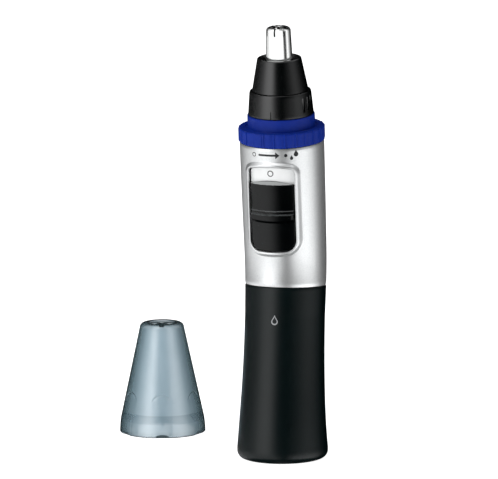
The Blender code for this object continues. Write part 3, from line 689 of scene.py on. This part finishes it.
def curved_plate(half, low, high, low_corner, high_corner, sag, arch, front, back, edge, rows=90, marks=()):
    """A plate wrapped round the axis, with bowed ends and rounded edges. front(x, s) is its outer radius.
    The marks are heights that get a row of their own."""
    heights = sorted(set(np.round(np.concatenate([
        np.linspace(low, high, rows), low + np.linspace(0, low_corner, 14),
        high - np.linspace(0, max(high_corner, edge), 8), np.array([*marks, low])]), 7)))
    heights = [h for k, h in enumerate(heights) if h <= high and (k == 0 or h - heights[k - 1] > 0.03 * MM)]
    heights[-1] = high
    near_edge = [0.97, 0.985, 0.995, 1]
    share = np.array([*(-v for v in reversed(near_edge)), *np.linspace(-0.95, 0.95, 53), *near_edge])
    width = len(share)
    outer, inner = [], []
    for s in heights:
        inset = 0.0
        if s < low + low_corner:
            inset = low_corner - math.sqrt(max(low_corner**2 - (low + low_corner - s) ** 2, 0))
        if s > high - high_corner:
            inset = high_corner - math.sqrt(max(high_corner**2 - (s - high + high_corner) ** 2, 0))
        for u in share:
            x = u * (half - inset)
            d = -float(outline_distance(np.array(x), np.array(s), half, low, high, low_corner, high_corner))
            lowered = edge - math.sqrt(max(edge**2 - max(edge - d, 0) ** 2, 0))
            level = s + bow(x, s, half, low, high, sag, arch)
            outer.append(front_point(x, float(front(x, level)) - lowered, level))
            inner.append(front_point(x, back, level))
    offset = len(outer)
    faces = []
    count = len(heights)
    for j in range(count - 1):
        for i in range(width - 1):
            a = j * width + i
            faces.append((a, a + 1, a + 1 + width, a + width))
            b = offset + a
            faces.append((b, b + width, b + 1 + width, b + 1))
        for i in (0, width - 1):
            a = j * width + i
            faces.append((a, a + width, offset + a + width, offset + a))
    for j in (0, count - 1):
        for i in range(width - 1):
            a = j * width + i
            faces.append((a, a + 1, offset + a + 1, offset + a))
    return outer + inner, faces


def step_up(s, start, width):
    return smoothstep((s - start) / width)


def slider_front(x, s):
    """The slider's outer radius: a bevel at its arched top, a thin ridge and the thick thumb ridge over a
    groove."""
    bevel = BEVEL_DEPTH * float(np.clip((s - BEVEL_BOTTOM) / BEVEL_HEIGHT, 0, 1))
    hollow = 0.22 * MM * step_up(s, 81 * MM, 4 * MM) * (1 - step_up(s, 85.5 * MM, 4 * MM))
    inset = step_up(SLIDER_HALF - abs(x), 0.15 * MM, 0.35 * MM)
    middle = 1 - (x / SLIDER_HALF) ** 2
    under = THICK_RIDGE[0] - 0.2 * MM * middle
    groove = step_up(s, under - 1.2 * MM, 0.9 * MM) * (1 - step_up(s, under - 0.05 * MM, 0.1 * MM))
    thin = step_up(s, THIN_RIDGE[0], 0.12 * MM) * (1 - step_up(s, THIN_RIDGE[1], 0.2 * MM))
    thick = step_up(s, under, 0.16 * MM) * (1 - step_up(s, THICK_RIDGE[1], 0.3 * MM))
    ridges = THIN_RISE * thin + THICK_RISE * thick - 0.5 * MM * groove
    return SLIDER_FACE - bevel - hollow + inset * ridges


def paint_edge_highlights(slider, points):
    """Paints highlights on the bevel and the ridges' upper edges: the faces that tilt upwards, where the
    radius falls with height, get paler materials than the rest of the slider. A face's outer points come
    before its inner ones, and its lower points before its upper ones."""
    slider.data.materials.append(PAINTED_BEVEL_HIGHLIGHT)
    slider.data.materials.append(PAINTED_RIDGE_HIGHLIGHT)
    for face in slider.data.polygons:
        if abs(face.normal.x) > 0.8:
            continue
        height = sum(points[v][2] for v in face.vertices) / len(face.vertices)
        radii = [math.hypot(*points[v][:2]) for v in sorted(face.vertices)]
        fall = radii[0] + radii[1] - radii[2] - radii[3]
        if height > BEVEL_BOTTOM and fall > 0.02 * MM:
            face.material_index = 1
        elif RIDGE_HIGHLIGHT_RANGE[0] < height < RIDGE_HIGHLIGHT_RANGE[1] and fall > 0.06 * MM:
            face.material_index = 2


def make_switch():
    marks = [v * MM for v in (*np.arange(77.2, 82.5, 0.07), *np.arange(88.8, 90.5, 0.08))]
    points, faces = curved_plate(SLIDER_HALF, SLIDER_BOTTOM, SLIDER_TOP, 3 * MM, 0.4 * MM, WINDOW_SAG,
                                 SLIDER_ARCH, slider_front, SLIDER_BACK, 0.22 * MM, 80, marks)
    slider = add_mesh("switch_slider_knob", on_upper(points), faces, SLIDER_BLACK)
    # Painted highlights on the slider's up-facing bevel and ridge edges
    paint_edge_highlights(slider, points)
    shade(slider, 40)
    finish_piece(slider, "switch", "black_plastic", "switch_slider")

    label_top = WINDOW_TOP - 0.3 * MM
    points, faces = curved_plate(SLIDER_HALF, SLIDER_BOTTOM, label_top, 3 * MM, 1 * MM, WINDOW_SAG,
                                 WINDOW_ARCH, lambda x, s: LABEL_RADIUS, LABEL_BACK, 0.12 * MM)
    label = add_mesh("switch_label_plate", on_upper(points), faces, WHITE)
    finish_piece(label, "main_body", "white_label", "switch_label")
    return slider


# The printed marks


def stamped(name, outlines, radius, azimuth, height, carry, look, body, slot, proud=0.025):
    """Flat outlines, in mm across and up from their middle, printed on a round surface."""
    bm = bmesh.new()
    for outline, holes in outlines:
        edges = []
        for loop in [outline, *holes]:
            verts = [bm.verts.new((u * MM, v * MM, 0)) for u, v in loop]
            edges += [bm.edges.new(p) for p in zip(verts, verts[1:] + verts[:1])]
        bmesh.ops.triangle_fill(bm, use_beauty=True, use_dissolve=False, edges=edges)
    strip = 0.35 * MM
    cuts = int(max(abs(v.co.x) for v in bm.verts) / strip) + 1
    for k in range(-cuts, cuts + 1):
        bmesh.ops.bisect_plane(bm, geom=bm.verts[:] + bm.edges[:] + bm.faces[:], dist=1e-8,
                               plane_co=(k * strip, 0, 0), plane_no=(1, 0, 0))
    grown = bmesh.ops.extrude_face_region(bm, geom=bm.faces[:])
    for v in grown["geom"]:
        if isinstance(v, bmesh.types.BMVert):
            v.co.z = 1
    points = []
    for v in bm.verts:
        s = height + v.co.y
        lift = proud if v.co.z > 0.5 else -0.06
        points.append(turned_point(radius(s) + lift * MM, azimuth + v.co.x / radius(s), s))
    bm.verts.index_update()
    faces = [tuple(v.index for v in f.verts) for f in bm.faces]
    bm.free()
    obj = add_mesh(name, carry(points), faces, look)
    shade(obj, 30)
    return finish_piece(obj, body, slot)


def circle(radius, centre=(0, 0), steps=28, start=0.0, end=TURN):
    count = steps if end - start >= TURN - 1e-6 else steps + 1
    span = [start + (end - start) * k / steps for k in range(count)]
    return [(centre[0] + radius * math.cos(a), centre[1] + radius * math.sin(a)) for a in span]


def drop(size, centre=(0, 0)):
    """A water drop, round below and pointed above."""
    body = circle(size * 0.5, (centre[0], centre[1] - size * 0.2), 22, math.radians(150), math.radians(390))
    point = [(0.18, 0.42), (0, 0.8), (-0.18, 0.42)]
    return body + [(centre[0] + size * x, centre[1] + size * y) for x, y in point]


def skin(height):
    return float(barrel_radius(height))


def make_marks():
    row_height, off_height, rinse_height = 100.2 * MM, 94.15 * MM, 44.6 * MM
    shaft, shoulder, head = 0.32, 2.15, 1.1
    arrow = [(-3.5, -shaft), (shoulder, -shaft), (shoulder, -head), (3.5, 0), (shoulder, head),
             (shoulder, shaft), (-3.5, shaft)]
    printed = (
        ("mark_closed", [(circle(0.72), [circle(0.5)])], -23),
        ("mark_arrow", [(arrow, [])], -0.5),
        ("mark_open", [(circle(0.53), [])], 23),
        ("mark_rinse", [(drop(1.5, (0.75, 0.5)), []), (drop(1.05, (-0.75, -0.8)), [])], 34),
    )
    for name, outlines, angle in printed:
        stamped(name, outlines, skin, math.radians(angle), row_height, on_spine, INK, "main_body",
                "black_plastic")
    off = [(circle(1.0), [circle(0.72)])]
    stamped("mark_off", off, lambda s: LABEL_RADIUS, 0, off_height, on_upper, INK, "main_body",
            "black_plastic")
    water = [(drop(2.1), [drop(1.5, (0, -0.03))])]
    stamped("mark_drop", water, skin, math.radians(3), rinse_height, on_spine, PALE_INK, "base",
            "white_label")


# The wash ring


def make_wash_ring():
    side = 13.62 * MM
    corners = [
        (10.2 * MM, RING_BOTTOM - 0.1 * MM, 0.1 * MM),
        (side, RING_BOTTOM - 0.1 * MM, 0.4 * MM),
        (side, RING_TOP, 0.3 * MM),
        (11.55 * MM, RING_TOP, 0.08 * MM),
        (11.4 * MM, RING_TOP - 0.18 * MM, 0.08 * MM),
        (10.75 * MM, RING_TOP - 0.18 * MM, 0.2 * MM),
        (10.7 * MM, NECK_TOP, 0.2 * MM),
        (9.75 * MM, NECK_TOP, 0.1 * MM),
        (9.75 * MM, 106.4 * MM, 0),
        (10.2 * MM, 106.4 * MM, 0),
    ]
    profile = denser(rounded(corners, 5), 0.45 * MM)
    pitch = TURN / WASH_RIBS
    plain_rib = WASH_RIBS - 2

    def ribs(azimuth, r, z):
        """The ribs between shallow hollows, and a plain field with a raised tick in the place of one rib."""
        place = azimuth / pitch - 0.5
        nearest = np.round(place)
        away = np.abs(place - nearest) * pitch * side
        high = 0.3 * MM * (1 - smoothstep((away - 0.16 * MM) / (0.2 * MM)))
        high = np.where(np.mod(nearest, WASH_RIBS) == plain_rib, 0, high)
        hollow = -0.16 * MM * (1 - smoothstep((away - 0.4 * MM) / (1.2 * MM)))
        from_tick = np.abs(np.mod(azimuth + math.radians(22.5) + math.pi, TURN) - math.pi) * side
        hollow = np.where(from_tick < 2.9 * MM, 0, hollow)
        tick = 0.14 * MM * np.clip(1 - from_tick / (0.38 * MM), 0, 1) * (np.abs(z - 103.5 * MM) < 0.5 * MM)
        return (high + hollow + tick) * smoothstep((r - 12.9 * MM) / (0.5 * MM))

    points, faces = lathe(profile, WASH_RIBS * 20, ribs)
    ring = add_mesh("wash_ring_ribbed", on_upper(points), faces, BLUE)
    shade(ring, 38)
    return finish_piece(ring, "wash_ring", "blue_plastic", "wash_ring")


# The head


def make_collar():
    seat = 111.02 * MM
    collar = rounded([
        (8.2 * MM, 106.6 * MM, 0.1 * MM),
        (9.4 * MM, 106.6 * MM, 0.15 * MM),
        (9.4 * MM, seat, 0),
        (10.4 * MM, seat, 0.1 * MM),
        (9.82 * MM, 117.8 * MM, 1.2 * MM),
        (9.62 * MM, CONE_STEP + 0.12 * MM, 0.16 * MM),
        (8.2 * MM, CONE_STEP + 0.12 * MM, 0.05 * MM),
    ], 6)
    points, faces = lathe(denser(collar, 0.8 * MM))
    obj = add_mesh("head_collar_shell", points, faces, BLACK)
    front_notch = box_mesh((-0.15 * MM, -12 * MM, 109 * MM), (0.15 * MM, -9.9 * MM, 113.5 * MM))
    grip_low, grip_high = (9.5 * MM, -0.6 * MM, 112.3 * MM), (12.5 * MM, 0.6 * MM, 117.1 * MM)
    grips = [box_mesh(grip_low, grip_high, 0.28 * MM, math.radians(side + angle))
             for angle in (-26, -13, 0, 13, 26) for side in (0, 180)]
    boolean(obj, [front_notch, *grips])
    move(obj, on_upper)
    finish_piece(obj, "head", "black_plastic", "head_collar")


def make_cone():
    opening = 4.62 * MM
    cone = rounded([
        (7 * MM, 112 * MM, 0.1 * MM),
        (7.9 * MM, 112 * MM, 0.1 * MM),
        (7.9 * MM, 118.56 * MM, 0),
        (8.92 * MM, 118.56 * MM, 0.1 * MM),
        (6.95 * MM, CONE_TOP, 0.55 * MM),
        (5.9 * MM, CONE_TOP - 0.02 * MM, 0.3 * MM),
        (opening, CONE_TOP - 0.55 * MM, 0.15 * MM),
        (opening, 127.3 * MM, 0),
        (5.7 * MM, 127.3 * MM, 0),
        (7 * MM, 118.9 * MM, 0),
    ], 7)
    points, faces = lathe(denser(cone, 0.9 * MM))
    obj = add_mesh("head_cone_shell", on_upper(points), faces, BLACK)
    finish_piece(obj, "head", "black_plastic", "head_cone")


def make_blade():
    wall = 0.45 * MM
    tip = 3.9 * MM
    foot = 4.28 * MM
    bend = 1.35 * MM
    flange, flange_bottom, flange_top = 5.25 * MM, 126.25 * MM, 126.9 * MM
    corners = [
        (foot - wall, flange_bottom, 0),
        (flange, flange_bottom, 0.1 * MM),
        (flange, flange_top, 0.15 * MM),
        (foot, flange_top, 0.3 * MM),
        (tip, BLADE_TOP, bend),
        (1.5 * MM, BLADE_TOP, 0.2 * MM),
        (1.3 * MM, BLADE_TOP - 0.14 * MM, 0.1 * MM),
        (0, BLADE_TOP - 0.16 * MM, 0),
        (0, BLADE_TOP - wall - 0.1 * MM, 0),
        (tip - wall, BLADE_TOP - wall, bend - wall),
    ]
    points, faces = lathe(rounded(corners, 10), 128)
    obj = add_mesh("outer_blade_guard", points, faces, STEEL)
    slot_low, slot_high = (1.5 * MM, -0.3 * MM, 136.3 * MM), (7 * MM, 0.3 * MM, 141 * MM)
    boolean(obj, [box_mesh(slot_low, slot_high, 0, TURN * k / BLADE_SLOTS + TURN / 4)
                  for k in range(BLADE_SLOTS)])
    move(obj, on_upper)
    return finish_piece(obj, "head", "steel", "outer_blade")


# The cap


def cap_radius(z):
    """The cap's outer radius: a skirt that curves inwards, and a straight cone above it."""
    z = np.asarray(z, float)
    curve = 0.36 * MM * np.clip(z / CAP_SKIRT, 0, 1) ** 2
    return 13.86 * MM - curve - 0.2145 * np.maximum(z - CAP_SKIRT, 0)


def cap_profile():
    crown = 1.7 * MM
    crown_bottom = CAP_HEIGHT - crown
    edge = float(cap_radius(crown_bottom))
    outside = [(13.55 * MM, 0)]
    outside += [(float(cap_radius(z)), float(z)) for z in np.linspace(0.25 * MM, crown_bottom, 142)]
    for angle in np.radians(np.linspace(12, 88, 10)):
        outside.append((edge - crown + crown * math.cos(angle), crown_bottom + crown * math.sin(angle)))
    dish_floor = CAP_HEIGHT - 0.5 * MM
    dish = rounded([(4.75 * MM, CAP_HEIGHT, 0.15 * MM), (4.35 * MM, dish_floor, 0.2 * MM),
                    (0, dish_floor, 0)], 4)
    inner_top = CAP_HEIGHT - 1.7 * MM
    corner = float(cap_radius(inner_top)) - CAP_THICKNESS - 0.3 * MM
    inside = [(0, inner_top)]
    inside += rounded([(corner, inner_top, 0.8 * MM)], 1)
    inside += [(float(cap_radius(z)) - CAP_THICKNESS, float(z))
               for z in np.linspace(inner_top - 0.9 * MM, 7.4 * MM, 30)]
    inside += [(12.25 * MM, 7.0 * MM), (12.25 * MM, 4.2 * MM), (12.45 * MM, 3.9 * MM), (12.5 * MM, 0)]
    return outside + dish + inside


def from_nearest(azimuth, radius, offset=0.0):
    """The way round the surface from the nearest of the cap's evenly spaced ribs or arches."""
    pitch = TURN / CAP_RIBS
    return (np.mod(azimuth - offset + pitch / 2, pitch) - pitch / 2) * radius


def dimples(azimuth, r, z):
    """The cap's outer skin: a shallow dimple under each arched line, and a sink mark over each rib."""
    away = from_nearest(azimuth, r)
    arc = 13.7 * MM - 1.9 * MM * (away / (3.25 * MM)) ** 2
    below = np.clip((arc - z) / (0.1 * MM), 0, 1)
    fade = 1 - smoothstep((13.4 * MM - z) / (7.5 * MM))
    side = 1 - smoothstep((np.abs(away) - 2.2 * MM) / (1.6 * MM))
    line = np.exp(-(((arc - z) / (0.2 * MM)) ** 2))
    outer_skin = (np.abs(r - cap_radius(z)) < 0.4 * MM) & (z < 20 * MM)
    sink = np.exp(-((from_nearest(azimuth, r, math.radians(12.5)) / (0.16 * MM)) ** 2))
    sink = sink * (z < 6.4 * MM) * (z > 0.6 * MM)
    return np.where(outer_skin, -(0.1 * below * fade + 0.22 * line) * side * MM - 0.06 * MM * sink, 0)


def rim_notch(azimuth):
    """A cutter with an arched outline, which takes a shallow notch out of the rim's outside."""
    half, spring, rise = 2.2, 0.15, 1.12
    outline = [(-half, -1), (half, -1), (half, spring)]
    outline += [(half * math.cos(a), rise * math.sin(a) ** 0.65) for a in np.linspace(0, math.pi, 17)[1:-1]]
    outline.append((-half, spring))
    bm = bmesh.new()
    face = bm.faces.new([bm.verts.new((NOTCH_RADIUS, x * MM, z * MM)) for x, z in outline])
    grown = bmesh.ops.extrude_face_region(bm, geom=[face])
    far = [v for v in grown["geom"] if isinstance(v, bmesh.types.BMVert)]
    bmesh.ops.translate(bm, vec=(2 * MM, 0, 0), verts=far)
    bmesh.ops.recalc_face_normals(bm, faces=bm.faces)
    bm.transform(Matrix.Rotation(azimuth, 4, "Z"))
    return bm


def dish_hole(x, y):
    bm = bmesh.new()
    radius = 0.9 * MM
    bmesh.ops.create_cone(bm, cap_ends=True, segments=32, radius1=radius, radius2=radius, depth=6 * MM,
                          matrix=Matrix.Translation((x * MM, y * MM, CAP_HEIGHT - 1 * MM)))
    return bm


def make_cap():
    points, faces = lathe(cap_profile(), 360, dimples)
    obj = add_mesh("protective_cap_shell", points, faces, SMOKE)
    first_rib = -math.radians(77.5)
    rib_low, rib_high = (11.0 * MM, -0.35 * MM, 0.6 * MM), (12.7 * MM, 0.35 * MM, 6.4 * MM)
    ribs = [box_mesh(rib_low, rib_high, 0.1 * MM, first_rib + TURN * k / CAP_RIBS) for k in range(CAP_RIBS)]
    boolean(obj, ribs, operation="UNION")

    cutters = [rim_notch(-TURN / 4 + TURN * k / CAP_RIBS) for k in range(CAP_RIBS)]
    groove_low = (-0.9 * MM, -9 * MM, CAP_HEIGHT - 0.5 * MM)
    groove_high = (0.9 * MM, -3.9 * MM, CAP_HEIGHT + 1 * MM)
    cutters.append(box_mesh(groove_low, groove_high, 0.2 * MM))
    cutters += [dish_hole(x, y) for x, y in ((-2.4, 0), (2.4, 0), (0, 2.4))]
    boolean(obj, cutters)

    # Painted shade: the faces of each rim notch's recess get the darker smoke colour
    obj.data.materials.append(PAINTED_NOTCH_SHADE)
    shaded = len(obj.data.materials) - 1
    for face in obj.data.polygons:
        from_notch = abs(math.hypot(face.center.x, face.center.y) - NOTCH_RADIUS)
        if face.center.z < 1.3 * MM and from_notch < 0.08 * MM:
            face.material_index = shaded
    move(obj, on_cap)
    return finish_piece(obj, "cap", "smoke_plastic", "protective_cap")


# What shows when the trimmer is opened


def dress_frame():
    looks = {
        GREY: ["inner_frame", "motor_end_cap", "motor_mount", "drive_coupler", "body_collar", "blade_hub"],
        STEEL: ["negative_plate", "negative_spring", "motor_can", "motor_shaft", "drive_spindle",
                "collar_screw_left", "collar_screw_right", "blade_spring", "inner_blade"],
        RUBBER: ["frame_seal", "switch_gasket", "ring_seal", "shaft_seal"],
        BRASS: ["positive_contact", "negative_strip", "switch_bridge", "battery_leaf", "motor_leaf",
                "motor_terminal_left", "motor_terminal_right", "commutator"],
        COPPER: ["armature"],
        FERRITE: ["magnet_left", "magnet_right"],
        BLACK: ["blade_retainer"],
        CELL: ["battery"],
    }
    for look, names in looks.items():
        for name in names:
            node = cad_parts[name]
            node.data.materials.clear()
            node.data.materials.append(look)


# The camera, the floor and the light


def make_camera():
    azimuth, elevation = math.radians(VIEW_AZIMUTH), math.radians(9.311)
    roll = math.radians(-0.372)
    distance = 2277.7 * MM
    sideways = -10.276 * MM
    target = Vector((math.cos(azimuth) * sideways, math.sin(azimuth) * sideways, 70.149 * MM))
    forward = Vector((-math.sin(azimuth) * math.cos(elevation), math.cos(azimuth) * math.cos(elevation),
                      -math.sin(elevation)))
    right = Vector((math.cos(azimuth), math.sin(azimuth), 0))
    up = right.cross(forward)
    across = math.cos(roll) * right + math.sin(roll) * up
    above = -math.sin(roll) * right + math.cos(roll) * up
    data = bpy.data.cameras.new("camera")
    data.sensor_fit = "HORIZONTAL"
    data.sensor_width = 36
    data.lens = 519.3
    data.clip_end = 100
    camera = add_object("camera", data)
    matrix = Matrix((across, above, -forward)).transposed().to_4x4()
    matrix.translation = target - forward * distance
    camera.matrix_world = matrix
    bpy.context.scene.camera = camera


# How bright the light tents are round the object: degrees from the camera's side, and strength. The main
# tent's low wall shows in the housing, and its high wall in the cover and the head. The steel blade, the
# slider and the cap have tents of their own, and the cap's is a narrow one, so that the trimmer doesn't
# stand in its light.
LOW_WALL = [(-180, 0), (-150, 0.4), (-134, 0.7), (-118, 0.98), (-100, 1.12), (-80, 1.1), (-60, 1.13),
            (-35, 1.15), (-20, 1.12), (-13, 0.84), (-8, 0.1), (-4, 0), (10, 0), (17, 0.8), (30, 1.55),
            (45, 1.88), (64, 1.98), (78, 1.9), (90, 1.4), (104, 0.62), (120, 0), (180, 0)]
HIGH_WALL = [(-180, 0), (-120, 0.06), (-95, 0.28), (-78, 0.7), (-64, 1.6), (-48, 2.1), (-36, 1.95),
             (-27, 0.85), (-18, 0.1), (-12, 0), (20, 0), (32, 0.08), (44, 0.2), (56, 0.42), (70, 0.5),
             (85, 0.3), (105, 0.05), (130, 0), (180, 0)]
SLIDER_WALL = [(-180, 0), (-134, 0.4), (-118, 0.8), (-100, 1.2), (-80, 1.5), (-60, 1.8), (-42, 1.7),
               (-30, 1), (-18, 0.2), (-10, 0), (24, 0), (45, 0.9), (64, 1.6), (90, 1.2), (120, 0), (180, 0)]
CAP_WALL = [(-180, 0), (-100, 0), (-76, 0.05), (-60, 0.4), (-47, 2.1), (-34, 3.4), (-23, 2.4), (-12, 0.35),
            (-4, 0), (12, 0), (21, 0.4), (32, 1.5), (43, 2), (56, 1.3), (70, 0.15), (90, 0), (180, 0)]
BLADE_WALL = [(-180, 0), (-150, 0.2), (-126, 0.8), (-96, 1.2), (-72, 1.6), (0, 1.75), (24, 1.85), (38, 1.4),
              (47, 0.1), (60, 0), (70, 0.4), (80, 1.6), (90, 1.2), (104, 0.5), (122, 0.1), (140, 0),
              (180, 0)]
TOP_WALL = [(-180, 0.3), (-120, 1.2), (120, 1.2), (180, 0.3)]
UNDER_WALL = [(-180, 0.03), (180, 0.03)]
TENT_BOTTOM = -1.2
TENT_TOP = 2.4
MAIN_TENT = [(-8, UNDER_WALL), (-1.35, UNDER_WALL), (-1.15, LOW_WALL), (-0.34, LOW_WALL), (-0.18, HIGH_WALL),
             (1.2, HIGH_WALL), (1.7, TOP_WALL), (TENT_TOP, TOP_WALL)]


def tent_look(name, see_through):
    """A material that glows as its mesh's glow attribute says, and lets light through if it's see-through."""
    look = bpy.data.materials.new(name)
    look.use_nodes = True
    tree = look.node_tree
    tree.nodes.clear()
    attribute = tree.nodes.new("ShaderNodeAttribute")
    attribute.attribute_name = "glow"
    emission = tree.nodes.new("ShaderNodeEmission")
    out = tree.nodes.new("ShaderNodeOutputMaterial")
    tree.links.new(attribute.outputs["Color"], emission.inputs["Color"])
    surface = emission.outputs["Emission"]
    if see_through:
        both = tree.nodes.new("ShaderNodeAddShader")
        tree.links.new(surface, both.inputs[0])
        tree.links.new(tree.nodes.new("ShaderNodeBsdfTransparent").outputs["BSDF"], both.inputs[1])
        surface = both.outputs["Shader"]
    tree.links.new(surface, out.inputs["Surface"])
    return look


def make_tent(name, radius, levels, pieces, state, centre=(0, 0)):
    """A round tent of light that only lights the object: the camera doesn't see it. The state says whether
    it lights nothing but these pieces, or all the others. The tents stand inside one another, and light
    goes through the inner ones."""
    count = 180
    points, brightness = [], []
    for height, wall in levels:
        for k in range(count):
            angle = TURN * k / count
            x, y, _ = turned_point(radius, angle, height)
            points.append((centre[0] + x, centre[1] + y, height))
            from_camera = (math.degrees(angle) - VIEW_AZIMUTH + 180) % 360 - 180
            brightness.append(float(np.interp(from_camera, *zip(*wall))))
    faces = []
    for row in range(len(levels) - 1):
        for k in range(count):
            a, b = row * count + k, row * count + (k + 1) % count
            faces.append((a, b, b + count, a + count))
    mesh = bpy.data.meshes.new(name)
    mesh.from_pydata(points, [], faces)
    glow = mesh.attributes.new("glow", "FLOAT_COLOR", "POINT")
    for item, level in zip(glow.data, brightness):
        item.color = (level, level * 1.005, level * 1.01, 1)
    mesh.materials.append(tent_look(name, state == "INCLUDE"))
    tent = add_object(name, mesh)
    tent.visible_camera = False
    tent.visible_shadow = False
    lit = bpy.data.collections.new(f"{name}_lights")
    for piece in pieces:
        lit.objects.link(piece)
    for member in lit.collection_objects:
        member.light_linking.link_state = state
    tent.light_linking.receiver_collection = lit


def both_ends(wall):
    """A tent's levels where one wall goes all the way up."""
    return [(TENT_BOTTOM, wall), (TENT_TOP, wall)]


def make_studio():
    reach, under_object = 30, -0.05 * MM
    floor = bpy.data.meshes.new("floor")
    corners = [(-reach, -reach), (reach, -reach), (reach, reach), (-reach, reach)]
    floor.from_pydata([(x, y, under_object) for x, y in corners], [], [(0, 1, 2, 3)])
    n = Nodes("pale_floor", Roughness=0.9, Specular_IOR_Level=0.0, Emission_Strength=0.95)
    n.shader.inputs["Emission Color"].default_value = (1, 1, 1, 1)
    tone = n.ramp(n.noise(3, 2.0), [(0.3, (0.9, 0.9, 0.9)), (0.7, (0.92, 0.92, 0.92))])
    n.link(tone, n.shader.inputs["Base Color"])
    floor.materials.append(n.material)
    ground = add_object("floor", floor)
    ground.visible_glossy = False
    world = bpy.data.worlds.new("studio")
    bpy.context.scene.world = world
    world.use_nodes = True
    background = world.node_tree.nodes["Background"]
    background.inputs["Color"].default_value = (1, 1, 1, 1)
    background.inputs["Strength"].default_value = 0.4
    lamp = bpy.data.lights.new("overhead", "AREA")
    lamp.shape = "DISK"
    lamp.size = 0.9
    lamp.energy = 3.5
    light = add_object("overhead", lamp)
    light.location = (-0.25, -0.25, 1.3)
    away = Vector(light.location) - Vector((0, 0, 0.08))
    light.rotation_euler = away.to_track_quat("Z", "Y").to_euler()
    bpy.context.scene.view_settings.view_transform = "Standard"


def main():
    make_camera()
    make_studio()
    make_cover()
    make_housing()
    slider = make_switch()
    make_marks()
    make_wash_ring()
    make_collar()
    make_cone()
    blade = make_blade()
    cap = make_cap()
    dress_frame()
    make_tent("light_tent", 1.6, MAIN_TENT, [blade, cap, slider], "EXCLUDE")
    make_tent("blade_tent", 1.56, both_ends(BLADE_WALL), [blade], "INCLUDE")
    make_tent("slider_tent", 1.52, both_ends(SLIDER_WALL), [slider], "INCLUDE")
    make_tent("cap_tent", 0.043, both_ends(CAP_WALL), [cap], "INCLUDE", CAP_PLACE[:2])


main()
